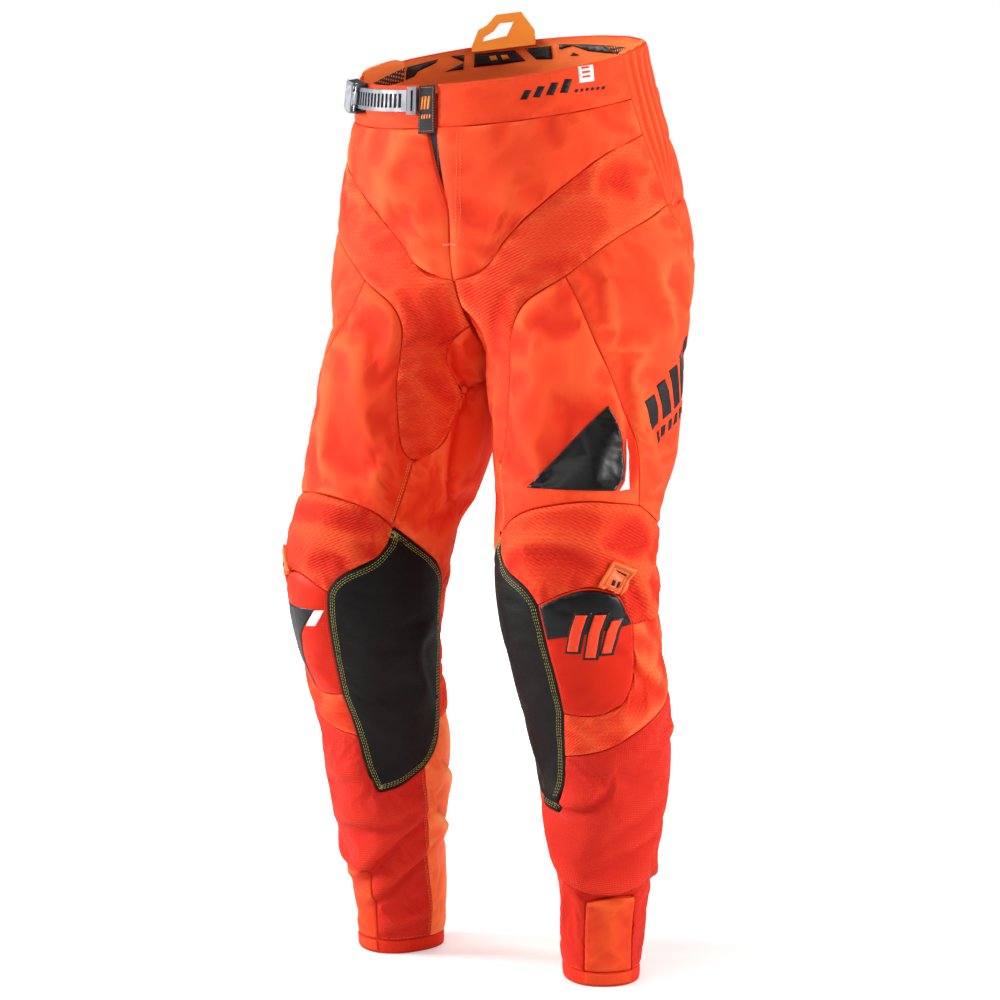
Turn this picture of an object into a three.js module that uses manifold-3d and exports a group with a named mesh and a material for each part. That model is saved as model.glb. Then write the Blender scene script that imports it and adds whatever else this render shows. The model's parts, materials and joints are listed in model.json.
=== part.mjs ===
// Motocross riding trousers with built-in knee panels.
// Millimetres. +Z is up, the front faces -Y, the wearer's left is +X, and the origin is on the
// middle plane at the height of the hems, under the middle of the whole object's box.
//
// Each leg is a tube around a bent axis. A point of it is given by an angle (degrees from the
// leg's own front, growing towards the outside) and a height. The panels are cut from that
// tube along named seams, and the right leg mirrors the left one.

import * as THREE from 'three';
import { mergeVertices } from 'three/addons/utils/BufferGeometryUtils.js';
import Module from 'manifold-3d';

const wasm = await Module();
wasm.setup();

// ---------------------------------------------------------------- driving dimensions

const FABRIC = 2;            // thickness of a sewn panel
const BAND = 3;              // thickness of the padded waistband
const SEAM = 1.6;            // gap between two sewn panels
const FORK = 0.8;            // distance of each half from the middle plane
const HEM = 14;              // height of the turned hem
const BAND_LOW = 900;        // height of the waistband's lower edge
const RIM = 945;             // height of the waist rim at the side
const YOKE_LOW = 848;        // height of the stretch yoke's lower edge
const ROUNDNESS = 2.25;      // exponent of the oval leg section; 2 is an ellipse

// Leg sections: axis place, reach to the front, back and side, and toe-out in degrees.
const LEG = [
  { height: 0, x: 119, y: -4, front: 47, back: 47, side: 40, turn: 32 },
  { height: 56, x: 120, y: -6, front: 50, back: 50, side: 42, turn: 33 },
  { height: 100, x: 124, y: -10, front: 54, back: 54, side: 47, turn: 34 },
  { height: 145, x: 125, y: -14, front: 60, back: 60, side: 56, turn: 34 },
  { height: 190, x: 127, y: -18, front: 64, back: 66, side: 63, turn: 34 },
  { height: 235, x: 128, y: -24, front: 66, back: 70, side: 68, turn: 34 },
  { height: 280, x: 128, y: -36, front: 70, back: 68, side: 73, turn: 34 },
  { height: 325, x: 125, y: -50, front: 76, back: 68, side: 76, turn: 34 },
  { height: 365, x: 121, y: -62, front: 82, back: 72, side: 77, turn: 33 },
  { height: 405, x: 119, y: -68, front: 86, back: 78, side: 79, turn: 32 },
  { height: 445, x: 117, y: -64, front: 86, back: 84, side: 80, turn: 30 },
  { height: 480, x: 114, y: -50, front: 88, back: 92, side: 80, turn: 26 },
  { height: 545, x: 108, y: -28, front: 92, back: 104, side: 88, turn: 16 },
  { height: 610, x: 101, y: -12, front: 100, back: 114, side: 92, turn: 6 },
  { height: 660, x: 97, y: 2, front: 108, back: 122, side: 96, turn: 0 },
  { height: 745, x: 92, y: 8, front: 112, back: 126, side: 98, turn: 0 },
  { height: 840, x: 84, y: 8, front: 112, back: 126, side: 98, turn: 0 },
  { height: 945, x: 75, y: 0, front: 112, back: 126, side: 98, turn: 0 },
];

// Hip sections: ellipses across both legs, and how much a level line rises towards the back.
const HIPS = [
  { height: 660, width: 196, front: -92, back: 126, rise: 0 },
  { height: 700, width: 198, front: -104, back: 146, rise: 0.02 },
  { height: 745, width: 197, front: -110, back: 152, rise: 0.06 },
  { height: 790, width: 190, front: -114, back: 150, rise: 0.13 },
  { height: 840, width: 179, front: -117, back: 143, rise: 0.22 },
  { height: 895, width: 165, front: -119, back: 132, rise: 0.31 },
  { height: 945, width: 155, front: -120, back: 121, rise: 0.33 },
];
const HIPS_START = 640;      // the leg section turns into the hip section between these heights
const HIPS_FULL = 735;

// The fly gapes a little: the left panel laps over the middle and the right one stays back.
const FLY_LOW = 790;
const FLAP_SHIFT = -10;
const FLY_SHIFT = 22;
const ZIP_X = -4;            // the zip runs under the flap, a little right of the middle
const ZIP_LOW = 768;
const SLIDER_HEIGHT = 884;   // zip slider, closed

// Ratchet closure on the right front of the waistband. Angles are around the waist, in degrees
// from the middle of the front, and depths below zero stand proud of the cloth.
const CLOSURE_HEIGHT = 930;
const STRAP = { from: -58, to: -15.6, low: -3.1, high: -5.3, width: 22, rungs: 16, slot: 14 };
const BUCKLE = { from: -64, to: -44, width: 30, wall: 2, top: -10.6 };
const LEVER_PIN = { angle: -48.5, depth: -8.3, radius: 1.2 };
const PAWL_PIN = { angle: -61, depth: -8, radius: 1 };
const CLEARANCE = 0.3;
const LOOP_ANGLE = 199.6;    // hang loop on the back of the rim
const LOOP_THICKNESS = 2.4;

// Silicone grip lining inside the back of the waistband: a strip with raised blocks.
const GRIP = { from: 122, to: 238, low: 906, high: 938, thickness: 0.8 };
const GRIP_BLOCKS = { angles: [128, 148, 170, 192, 214], width: 15, low: 911, high: 932, rise: 0.8 };

// Mesh liner inside each thigh, and the moulded badge above each knee cup.
const LINER = { low: 480, high: 636, thickness: 1.2, depth: 7 };
const BADGE = { width: 24, length: 28, thickness: 2.4, angle: 19.5, height: 428, tilt: 26 };

// ---------------------------------------------------------------- helpers

const radians = THREE.MathUtils.degToRad;
const smoothstep = THREE.MathUtils.smoothstep;

// Reads a table of sections at a height, with a smooth curve through its rows.
function section(table, height) {
  const last = table.length - 1;
  const h = THREE.MathUtils.clamp(height, table[0].height, table[last].height);
  let i = 0;
  while (i < last - 1 && h > table[i + 1].height) i += 1;
  const step = (row) => table[row + 1].height - table[row].height;
  const t = (h - table[i].height) / step(i);
  const result = {};
  for (const key of Object.keys(table[0])) {
    if (key === 'height') continue;
    const slope = (row) => (table[row + 1][key] - table[row][key]) / step(row);
    const tangent = (row) => {
      if (row === 0) return slope(0);
      if (row === last) return slope(last - 1);
      return (slope(row - 1) + slope(row)) / 2;
    };
    result[key] =
      (2 * t ** 3 - 3 * t ** 2 + 1) * table[i][key] +
      (t ** 3 - 2 * t ** 2 + t) * step(i) * tangent(i) +
      (3 * t ** 2 - 2 * t ** 3) * table[i + 1][key] +
      (t ** 3 - t ** 2) * step(i) * tangent(i + 1);
  }
  return result;
}

// The left half's surface before it is stopped at the middle plane.
function openSurface(angle, height) {
  const leg = section(LEG, height);
  const hip = section(HIPS, height);
  const a = radians(angle);
  const along = Math.cos(a) / (Math.cos(a) > 0 ? leg.front : leg.back);
  const across = Math.sin(a) / leg.side;
  const oval = (Math.abs(along) ** ROUNDNESS + Math.abs(across) ** ROUNDNESS) ** (-1 / ROUNDNESS);
  const dx = Math.sin(a + radians(leg.turn));
  const dy = -Math.cos(a + radians(leg.turn));
  const depth = (hip.back - hip.front) / 2;
  const px = leg.x / hip.width;
  const py = (leg.y - (hip.front + hip.back) / 2) / depth;
  const qx = dx / hip.width;
  const qy = dy / depth;
  const A = qx * qx + qy * qy;
  const B = px * qx + py * qy;
  const C = px * px + py * py - 1;
  const ellipse = (-B + Math.sqrt(Math.max(B * B - A * C, 0))) / A;
  const share = smoothstep(height, HIPS_START, HIPS_FULL);
  return { leg, hip, dx, dy, radius: oval + (ellipse - oval) * share };
}

// A point of the left half, at a depth under the outer face. The half stops at x = `stop`.
function legPoint(angle, height, depth = 0, stop = FORK) {
  const { leg, hip, dx, dy, radius } = openSurface(angle, height);
  let r = radius - depth;
  if (dx < 0) r = Math.min(r, (leg.x - stop) / -dx);
  const y = leg.y + r * dy;
  return new THREE.Vector3(leg.x + r * dx, y, height + hip.rise * y);
}

// A point of the waist, by its angle from the middle of the front, at a depth under the face.
function waistPoint(angle, height, depth = 0) {
  const hip = section(HIPS, height);
  const middle = (hip.front + hip.back) / 2;
  const half = (hip.back - hip.front) / 2;
  const a = radians(angle);
  const normal = new THREE.Vector2(Math.sin(a) / hip.width, -Math.cos(a) / half).normalize();
  const x = hip.width * Math.sin(a) - depth * normal.x;
  const y = middle - half * Math.cos(a) - depth * normal.y;
  return new THREE.Vector3(x, y, height + hip.rise * y);
}

// The waist angle of a point that is given on the leg.
function waistAngle(angle, height) {
  const point = legPoint(angle, height);
  const hip = section(HIPS, height);
  const middle = (hip.front + hip.back) / 2;
  const half = (hip.back - hip.front) / 2;
  return THREE.MathUtils.radToDeg(Math.atan2(point.x / hip.width, (middle - point.y) / half));
}

function bisect(low, high, isLow) {
  for (let i = 0; i < 40; i += 1) {
    const middle = (low + high) / 2;
    if (isLow(middle)) low = middle;
    else high = middle;
  }
  return (low + high) / 2;
}

const across = (angle, height) => {
  const { leg, dx, radius } = openSurface(angle, height);
  return leg.x + radius * dx;
};

// Where the half meets the middle plane, or a plane beside it: by height at the front and at
// the back, and by angle under the fork.
const frontEdge = (height, x = FORK) => bisect(-80, 20, (angle) => across(angle, height) < x);
const backEdge = (height, x = FORK) => bisect(170, 262, (angle) => across(angle, height) > x);
const forkHeight = (angle) => bisect(600, 760, (height) => across(angle, height) > FORK);
const underFork = (from, to) => {
  const points = [];
  for (let i = 0; i <= 6; i += 1) {
    const angle = from + ((to - from) * i) / 6;
    points.push([angle, forkHeight(angle)]);
  }
  return points;
};
const middleLine = (edge, from, to) =>
  [0, 1, 2, 3].map((i) => {
    const height = from + ((to - from) * i) / 3;
    return [edge(height), height];
  });

const reversed = (run) => [...run].reverse();
const fullTurn = (run) => run.map(([angle, height]) => [angle + 360, height]);

// ---------------------------------------------------------------- panels

const DEGREE = 1.25;         // length of one degree on an average leg, used to space points

// Spaces points along an edge. The edge is a list of runs, and each run is a smooth curve.
function spaced(runs, count) {
  const curves = runs.map(
    (run) => new THREE.SplineCurve(run.map(([a, h]) => new THREE.Vector2(a * DEGREE, h))),
  );
  const lengths = curves.map((curve) => curve.getLength());
  const total = lengths.reduce((sum, length) => sum + length, 0);
  const shares = lengths.map((length) => Math.max(1, Math.round((count * length) / total)));
  const longest = lengths.indexOf(Math.max(...lengths));
  shares[longest] += count - shares.reduce((sum, share) => sum + share, 0);
  const points = [];
  curves.forEach((curve, i) => {
    const run = curve.getSpacedPoints(shares[i]);
    if (i > 0) run.shift();
    points.push(...run);
  });
  return points.map((p) => new THREE.Vector2(p.x / DEGREE, p.y));
}

// Moves a closed outline inwards by half a seam, measured on the surface.
function narrowed(outline, surface, amount) {
  const count = outline.length;
  return outline.map((point, i) => {
    const here = surface(point.x, point.y);
    const degree = surface(point.x + 1, point.y).distanceTo(here);
    const before = outline[(i + count - 1) % count];
    const after = outline[(i + 1) % count];
    const normal = (p, q) =>
      new THREE.Vector2(-(q.y - p.y), (q.x - p.x) * degree).normalize();
    const first = normal(before, point);
    const second = normal(point, after);
    const corner = first.clone().add(second);
    corner.multiplyScalar(amount / Math.max(1 + first.dot(second), 0.35));
    return new THREE.Vector2(point.x + corner.x / degree, point.y + corner.y);
  });
}

// A closed solid between an outer and an inner grid of points. `closed` joins the last column
// to the first one, for a ring.
function solidBetween(outer, inner, closed = false) {
  const columns = outer.length;
  const rows = outer[0].length;
  const positions = [];
  for (const grid of [outer, inner]) {
    for (const column of grid) {
      for (const p of column) positions.push(p.x, p.y, p.z);
    }
  }
  const index = [];
  const at = (side, i, j) => side * columns * rows + (i % columns) * rows + j;
  const quad = (a, b, c, d) => index.push(a, b, c, a, c, d);
  const spans = closed ? columns : columns - 1;
  for (let i = 0; i < spans; i += 1) {
    for (let j = 0; j < rows - 1; j += 1) {
      quad(at(0, i, j), at(0, i + 1, j), at(0, i + 1, j + 1), at(0, i, j + 1));
      quad(at(1, i, j), at(1, i, j + 1), at(1, i + 1, j + 1), at(1, i + 1, j));
    }
    quad(at(0, i + 1, 0), at(0, i, 0), at(1, i, 0), at(1, i + 1, 0));
    quad(at(0, i, rows - 1), at(0, i + 1, rows - 1), at(1, i + 1, rows - 1), at(1, i, rows - 1));
  }
  if (!closed) {
    for (let j = 0; j < rows - 1; j += 1) {
      const end = columns - 1;
      quad(at(0, 0, j), at(0, 0, j + 1), at(1, 0, j + 1), at(1, 0, j));
      quad(at(0, end, j + 1), at(0, end, j), at(1, end, j), at(1, end, j + 1));
    }
  }
  const geometry = new THREE.BufferGeometry();
  geometry.setAttribute('position', new THREE.Float32BufferAttribute(positions, 3));
  geometry.setIndex(index);
  return geometry;
}

// A sewn panel. Its bottom and top edges run towards the outside, its sides run up.
// `crown` lifts its middle, as a moulded or padded panel does.
function panel({ bottom, right, top, left }, columns, rows, options = {}) {
  const { surface = legPoint, thickness = FABRIC, crown = 0, depth = 0, gap = SEAM / 2 } = options;
  const edges = [
    spaced(bottom, columns),
    spaced(right, rows),
    spaced(top, columns).reverse(),
    spaced(left, rows).reverse(),
  ];
  const outline = narrowed(edges.flatMap((edge) => edge.slice(0, -1)), surface, gap);
  const at = (i) => outline[i % outline.length];
  const B = (i) => at(i);
  const R = (j) => at(columns + j);
  const T = (i) => at(2 * columns + rows - i);
  const L = (j) => at(2 * (columns + rows) - j);
  const grids = [[], []];
  for (let i = 0; i <= columns; i += 1) {
    const u = i / columns;
    const lines = [[], []];
    for (let j = 0; j <= rows; j += 1) {
      const v = j / rows;
      const blend = (key) =>
        (1 - v) * B(i)[key] + v * T(i)[key] + (1 - u) * L(j)[key] + u * R(j)[key] -
        (1 - u) * (1 - v) * B(0)[key] - u * (1 - v) * B(columns)[key] -
        (1 - u) * v * T(0)[key] - u * v * T(columns)[key];
      const lift = crown * Math.sin(Math.PI * u) * Math.sin(Math.PI * v);
      lines[0].push(surface(blend('x'), blend('y'), depth - lift));
      lines[1].push(surface(blend('x'), blend('y'), depth + thickness - lift));
    }
    grids[0].push(lines[0]);
    grids[1].push(lines[1]);
  }
  return solidBetween(grids[0], grids[1]);
}

// A tube of cloth between two heights of the leg.
function legRing(low, high, columns, rows, thickness, depth = 0) {
  const grid = (d) =>
    Array.from({ length: columns }, (_, i) =>
      Array.from({ length: rows + 1 }, (__, j) =>
        legPoint((360 * i) / columns, low + ((high - low) * j) / rows, d)));
  return solidBetween(grid(depth), grid(depth + thickness), true);
}

// A bar that follows the waist. Its profile is a closed list of [depth, height] corners.
function waistBar(profile, from, to, steps) {
  const contour = profile.map(([depth, height]) => new THREE.Vector2(depth, height));
  if (THREE.ShapeUtils.isClockWise(contour)) contour.reverse();
  const n = contour.length;
  const positions = [];
  const index = [];
  for (let i = 0; i <= steps; i += 1) {
    for (const corner of contour) {
      const p = waistPoint(from + ((to - from) * i) / steps, corner.y, corner.x);
      positions.push(p.x, p.y, p.z);
    }
  }
  for (let i = 0; i < steps; i += 1) {
    for (let k = 0; k < n; k += 1) {
      const a = i * n + k;
      const b = i * n + ((k + 1) % n);
      index.push(a, b, b + n, a, b + n, a + n);
    }
  }
  for (const [a, b, c] of THREE.ShapeUtils.triangulateShape(contour, [])) {
    index.push(a, c, b, steps * n + a, steps * n + b, steps * n + c);
  }
  const geometry = new THREE.BufferGeometry();
  geometry.setAttribute('position', new THREE.Float32BufferAttribute(positions, 3));
  geometry.setIndex(index);
  return geometry;
}

function mirrored(geometry) {
  const copy = geometry.clone().scale(-1, 1, 1);
  const index = Array.from(copy.getIndex().array);
  for (let i = 0; i < index.length; i += 3) {
    [index[i + 1], index[i + 2]] = [index[i + 2], index[i + 1]];
  }
  copy.setIndex(index);
  return copy;
}

// ---------------------------------------------------------------- booleans

// The same surface with positions only, and shared corners merged.
function welded(geometry) {
  const bare = geometry.clone();
  bare.deleteAttribute('normal');
  bare.deleteAttribute('uv');
  return mergeVertices(bare, 1e-4);
}

function toSolid(geometry) {
  const merged = welded(geometry);
  return new wasm.Manifold(new wasm.Mesh({
    numProp: 3,
    vertProperties: new Float32Array(merged.getAttribute('position').array),
    triVerts: new Uint32Array(merged.getIndex().array),
  }));
}

function toGeometry(solid) {
  const mesh = solid.getMesh();
  const geometry = new THREE.BufferGeometry();
  geometry.setAttribute('position', new THREE.BufferAttribute(new Float32Array(mesh.vertProperties), 3));
  geometry.setIndex(Array.from(mesh.triVerts));
  return geometry;
}

const join = (...parts) => toGeometry(parts.map(toSolid).reduce((a, b) => a.add(b)));
const cut = (part, ...tools) => toGeometry(tools.map(toSolid).reduce((a, b) => a.subtract(b), toSolid(part)));

// ---------------------------------------------------------------- seams, as [angle, height]

const V_POINT = 717;         // the front panels end here on the middle line
const SEAT_POINT = 735;      // the seat seam meets the middle line here
const GUSSET_FRONT = -54;    // the gusset's ends on the fork seam
const GUSSET_BACK = -128;

const vSeam = [[frontEdge(V_POINT), V_POINT], [-33, 719], [-26, 730], [-16, 759], [-2, 790],
  [19, 823], [44, 850], [73, 862]];
const bandHipEnd = [[83, 789], [79, 820], [73, 862]];
const bandLowHip = [[13, 719], [44, 757], [83, 789]];
const bandLowThigh = [[-57, 534], [-46, 551], [-29, 603], [-22, 641], [-17, 672], [-8, 695], [13, 719]];
const bandRear = [[-63, 533], [-70, 539], [-74, 558], [-73, 582], [-70, 602]];
const gussetFront = [[-70, 602], [-57, 621], [-50, 634], [-48, 652],
  [GUSSET_FRONT, forkHeight(GUSSET_FRONT)]];
const gussetTip = [[-70, 602], [-73, 602]];
const gussetBack = [[-73, 602], [-95, 614], [-116, 638], [GUSSET_BACK, forkHeight(GUSSET_BACK)]];
const bandTipFront = [[-60, 533], [-57, 534]];
const bandTipRear = [[-60, 533], [-63, 533]];
const inseamThigh = [[-68, 467], [-65, 500], [-60, 533]];
const thighSeam = [[41, 494], [42, 554], [36, 610], [30, 646], [23, 684], [13, 719]];
const kneeTopFront = [[-68, 467], [-45, 484], [-22, 494], [8, 499], [41, 494]];
const kneeTopSide = [[41, 494], [60, 480], [80, 472]];
const kneeTopOuter = [[80, 472], [105, 474], [130, 478]];
const kneeTopBack = [[130, 478], [165, 462], [200, 434], [229, 402]];
const outseam = [[130, 478], [130, 570], [127, 650]];
const outseamHip = [[127, 650], [112, 730], [83, 789]];
const pleatTip = [[83, 789], [88, 789]];
const pleatRear = [[88, 789], [98, 812], [112, YOKE_LOW]];
const pleatRearBand = [[112, YOKE_LOW], [117, BAND_LOW], [119, RIM]];
const pleatFront = [[83, 789], [79, 820], [73, 862], [70, BAND_LOW], [68, RIM]];
const seatSeam = [[127, 650], [165, 668], [195, 702], [backEdge(SEAT_POINT), SEAT_POINT]];
const leatherTopFront = [[-33, 400], [-39, 414], [-48, 423], [-62, 433], [-70, 450], [-69, 465]];
const leatherCup = [[-35, 289], [-34, 315], [-33, 344], [-32, 372], [-33, 400]];
const leatherBand = [[-41, 243], [-39, 262], [-35, 289]];
const leatherLowFront = [[-53, 184], [-45, 210], [-41, 243]];
const leatherTopRear = [[-131, 402], [-125, 418], [-108, 436], [-89, 451], [-71, 465]];
const leatherRear = [[-123, 255], [-128, 290], [-134, 332], [-130, 370], [-131, 402]];
const leatherLowRear = [[-102, 206], [-116, 226], [-123, 255]];
const leatherTip = [[-56, 182], [-53, 184]];
const leatherBottom = [[-102, 206], [-78, 189], [-56, 182]];
const cupTop = [[-33, 400], [-12, 414], [6, 418], [22, 409]];
const cupCorner = [[31, 381], [22, 409]];
const cupSide = [[14, 300], [23, 320], [28, 346], [31, 381]];
const cupBottom = [[-35, 289], [-20, 287], [-4, 289], [14, 300]];
const sideEnd = [[31, 381], [52, 382], [75, 388]];
const kneeSideHigh = [[75, 388], [78, 430], [80, 472]];
const kneeSideLow = [[80, 309], [85, 350], [75, 388]];
const shinTop = [[-41, 243], [-10, 250], [15, 264], [40, 282], [62, 297], [80, 309]];
const kneeBackLow = [[80, 309], [120, 312], [160, 295], [200, 268], [237, 255]];
const inseamShin = [[-112, HEM], [-115, 54], [-110, 120], [-104, 180], [-102, 206]];
const outseamShin = [[98, HEM], [94, 100], [88, 200], [80, 309]];
const insertLeft = [[-31, HEM], [-30, 90]];
const insertTop = [[-30, 90], [0, 93], [30, 95]];
const insertRight = [[36, HEM], [30, 95]];
const forkFront = underFork(GUSSET_FRONT, frontEdge(V_POINT));

// ---------------------------------------------------------------- sub-parts

const group = new THREE.Group();

const COLOURS = {
  shell: 0xf54c2c,
  stretch: 0xee4a2c,
  mesh: 0xdf3222,
  cup: 0xdc3314,
  leather: 0x171213,
  lining: 0xfb5d2f,
  rubber: 0xf2711d,
  black: 0x17171a,
  grip: 0x202022,
  strap: 0xb9bcc0,
  metal: 0x8f9296,
};

function add(name, geometry, colour, roughness = 0.85, metalness = 0) {
  const material = new THREE.MeshStandardMaterial({ color: colour, roughness, metalness });
  const mesh = new THREE.Mesh(geometry, material);
  mesh.name = name;
  group.add(mesh);
}

function addPair(name, geometry, colour, roughness) {
  add(`${name}_left`, geometry, colour, roughness);
  add(`${name}_right`, mirrored(geometry), colour, roughness);
}

// `shift` moves the panel's edge at the fly sideways, growing towards the waistband.
function frontPanel(shift) {
  const edge = [V_POINT, 760, 800, 850, BAND_LOW].map((height) => {
    const x = FORK + shift * smoothstep(height, FLY_LOW, BAND_LOW);
    return [frontEdge(height, x), height];
  });
  const top = [edge[4], [20, BAND_LOW], [70, BAND_LOW]];
  const surface = (angle, height, depth) => legPoint(angle, height, depth, FLAP_SHIFT - SEAM);
  const side = [[73, 862], [70, BAND_LOW]];
  return panel({ bottom: [vSeam], right: [side], top: [top], left: [edge] }, 9, 9, { surface });
}

function hipBand() {
  const upper = [bandRear, gussetFront, forkFront, vSeam];
  const lower = [bandLowThigh, bandLowHip];
  return panel({ bottom: lower, right: [bandHipEnd], top: upper, left: [[[-57, 534], [-63, 533]]] }, 30, 4);
}

function crotchGusset() {
  const fork = underFork(GUSSET_BACK, GUSSET_FRONT);
  return panel({
    bottom: [reversed(gussetTip)],
    right: [gussetFront],
    top: [fork],
    left: [gussetBack],
  }, 5, 5, { gap: SEAM });
}

function thighFront() {
  const top = [bandTipFront, bandLowThigh];
  return panel({ bottom: [kneeTopFront], right: [thighSeam], top, left: [inseamThigh] }, 13, 9);
}

function sidePanel() {
  return panel({
    bottom: [kneeTopSide, kneeTopOuter],
    right: [outseam, outseamHip],
    top: [bandLowHip],
    left: [thighSeam],
  }, 7, 13);
}

function thighBack() {
  const fork = underFork(GUSSET_BACK, -148);
  const backFork = [...fork.slice(0, -1), [backEdge(SEAT_POINT) - 360, SEAT_POINT]];
  const inner = [inseamThigh, bandTipRear, bandRear, gussetTip, gussetBack, backFork].map(fullTurn);
  const low = [kneeTopBack, fullTurn(leatherTopRear)];
  return panel({ bottom: low, right: inner, top: [seatSeam], left: [outseam] }, 13, 15);
}

function seat() {
  return panel({
    bottom: [seatSeam],
    right: [middleLine(backEdge, SEAT_POINT, YOKE_LOW)],
    top: [[[112, YOKE_LOW], [160, YOKE_LOW], [backEdge(YOKE_LOW), YOKE_LOW]]],
    left: [outseamHip, pleatTip, pleatRear],
  }, 7, 12);
}

function pleatPanel() {
  return panel({
    bottom: [pleatTip],
    right: [pleatRear, pleatRearBand],
    top: [[[68, RIM], [119, RIM]]],
    left: [pleatFront],
  }, 5, 8);
}

function kneeStretch() {
  return panel({
    bottom: [cupTop, reversed(cupCorner), sideEnd],
    right: [kneeSideHigh],
    top: [kneeTopFront, kneeTopSide],
    left: [leatherTopFront],
  }, 12, 5);
}

function kneeCup() {
  const shape = { bottom: [cupBottom], right: [cupSide, cupCorner], top: [cupTop], left: [leatherCup] };
  return panel(shape, 5, 8, { crown: 2 });
}

function shinStretch() {
  return panel({
    bottom: [shinTop],
    right: [kneeSideLow],
    top: [cupBottom, cupSide, sideEnd],
    left: [leatherBand],
  }, 14, 3);
}

function innerKneePatch() {
  return panel({
    bottom: [leatherTip],
    right: [leatherLowFront, leatherBand, leatherCup, leatherTopFront],
    top: [[[-71, 465], [-69, 465]]],
    left: [reversed(leatherBottom), leatherLowRear, leatherRear, leatherTopRear],
  }, 5, 22);
}

function kneeBack() {
  return panel({
    bottom: [kneeBackLow],
    right: [fullTurn(leatherRear)],
    top: [kneeTopOuter, kneeTopBack],
    left: [kneeSideLow, kneeSideHigh],
  }, 9, 7);
}

function shinFront() {
  return panel({
    bottom: [
      [[-112, HEM], [-31, HEM]],
      insertLeft,
      insertTop,
      reversed(insertRight),
      [[36, HEM], [98, HEM]],
    ],
    right: [outseamShin],
    top: [leatherBottom, leatherTip, leatherLowFront, shinTop],
    left: [inseamShin],
  }, 19, 7);
}

function calf() {
  return panel({
    bottom: [[[98, HEM], [170, HEM], [248, HEM]]],
    right: [fullTurn(inseamShin)],
    top: [kneeBackLow, reversed(fullTurn(leatherLowRear))],
    left: [outseamShin],
  }, 7, 9);
}

function cuffInsert() {
  const bottom = [[-31, HEM], [36, HEM]];
  const shape = { bottom: [bottom], right: [insertRight], top: [insertTop], left: [insertLeft] };
  return panel(shape, 4, 6, { gap: 1.4 * SEAM });
}

addPair('hip_stretch_band', hipBand(), COLOURS.stretch);
addPair('crotch_gusset', crotchGusset(), COLOURS.shell);
addPair('thigh_front', thighFront(), COLOURS.shell);
addPair('thigh_side', sidePanel(), COLOURS.shell);
addPair('thigh_back', thighBack(), COLOURS.shell);
addPair('seat_panel', seat(), COLOURS.shell);
addPair('side_pleat_panel', pleatPanel(), COLOURS.shell);
addPair('knee_stretch_panel', kneeStretch(), COLOURS.stretch);
addPair('knee_cup', kneeCup(), COLOURS.cup, 0.5);
addPair('shin_stretch_band', shinStretch(), COLOURS.stretch);
addPair('inner_knee_leather', innerKneePatch(), COLOURS.leather, 0.6);
addPair('knee_back_stretch', kneeBack(), COLOURS.stretch);
addPair('shin_mesh_panel', shinFront(), COLOURS.mesh);
addPair('calf_panel', calf(), COLOURS.shell);
addPair('cuff_insert', cuffInsert(), COLOURS.mesh);
addPair('hem', legRing(0, HEM - SEAM / 2, 24, 1, FABRIC), COLOURS.mesh);
addPair('thigh_liner', legRing(LINER.low, LINER.high, 14, 3, LINER.thickness, LINER.depth), COLOURS.lining);

// ---------------------------------------------------------------- waistband

const bandSide = waistAngle(70, BAND_LOW);
const bandRearSide = waistAngle(119, BAND_LOW);

// A stretch of the waistband between two waist angles.
function waistband(from, to, columns) {
  return panel({
    bottom: [[[from, BAND_LOW], [to, BAND_LOW]]],
    right: [[[to, BAND_LOW], [to, RIM]]],
    top: [[[from, RIM], [to, RIM]]],
    left: [[[from, BAND_LOW], [from, RIM]]],
  }, columns, 2, { surface: waistPoint, thickness: BAND });
}

function yoke() {
  const low = waistAngle(112, YOKE_LOW);
  return panel({
    bottom: [[[low, YOKE_LOW], [360 - low, YOKE_LOW]]],
    right: [[[360 - low, YOKE_LOW], [360 - bandRearSide, BAND_LOW]]],
    top: [[[bandRearSide, BAND_LOW], [360 - bandRearSide, BAND_LOW]]],
    left: [[[low, YOKE_LOW], [bandRearSide, BAND_LOW]]],
  }, 16, 3, { surface: waistPoint });
}

const box = (out, inside, low, high) => [[out, low], [out, high], [inside, high], [inside, low]];

function gripStrip() {
  const back = BAND + 2 * CLEARANCE;
  const { thickness, low, high } = GRIP;
  const strip = waistBar(box(back, back + thickness, low, high), GRIP.from, GRIP.to, 14);
  const proud = back + thickness + GRIP_BLOCKS.rise;
  const profile = box(back + thickness / 2, proud, GRIP_BLOCKS.low, GRIP_BLOCKS.high);
  const blocks = GRIP_BLOCKS.angles.map((from) => waistBar(profile, from, from + GRIP_BLOCKS.width, 2));
  return join(strip, ...blocks);
}

// Places a shape whose x runs along the cloth, y points into it and z runs up it.
function frameOn(surface, angle, height, depth) {
  const origin = surface(angle, height, depth);
  const along = surface(angle + 1, height, depth).sub(origin).normalize();
  const up = surface(angle, height + 10, depth).sub(origin).normalize();
  const inward = new THREE.Vector3().crossVectors(up, along).normalize();
  const top = new THREE.Vector3().crossVectors(along, inward);
  return new THREE.Matrix4().makeBasis(along, inward, top).setPosition(origin);
}

function shapeOf(points) {
  return new THREE.Shape(points.map(([x, y]) => new THREE.Vector2(x, y)));
}

// A flat plate standing in the local x-z plane, its outer face at y = 0.
function plate(shape, thickness) {
  const options = { depth: thickness, bevelEnabled: false, curveSegments: 6 };
  return welded(new THREE.ExtrudeGeometry(shape, options)).rotateX(Math.PI / 2).translate(0, thickness, 0);
}

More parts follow.
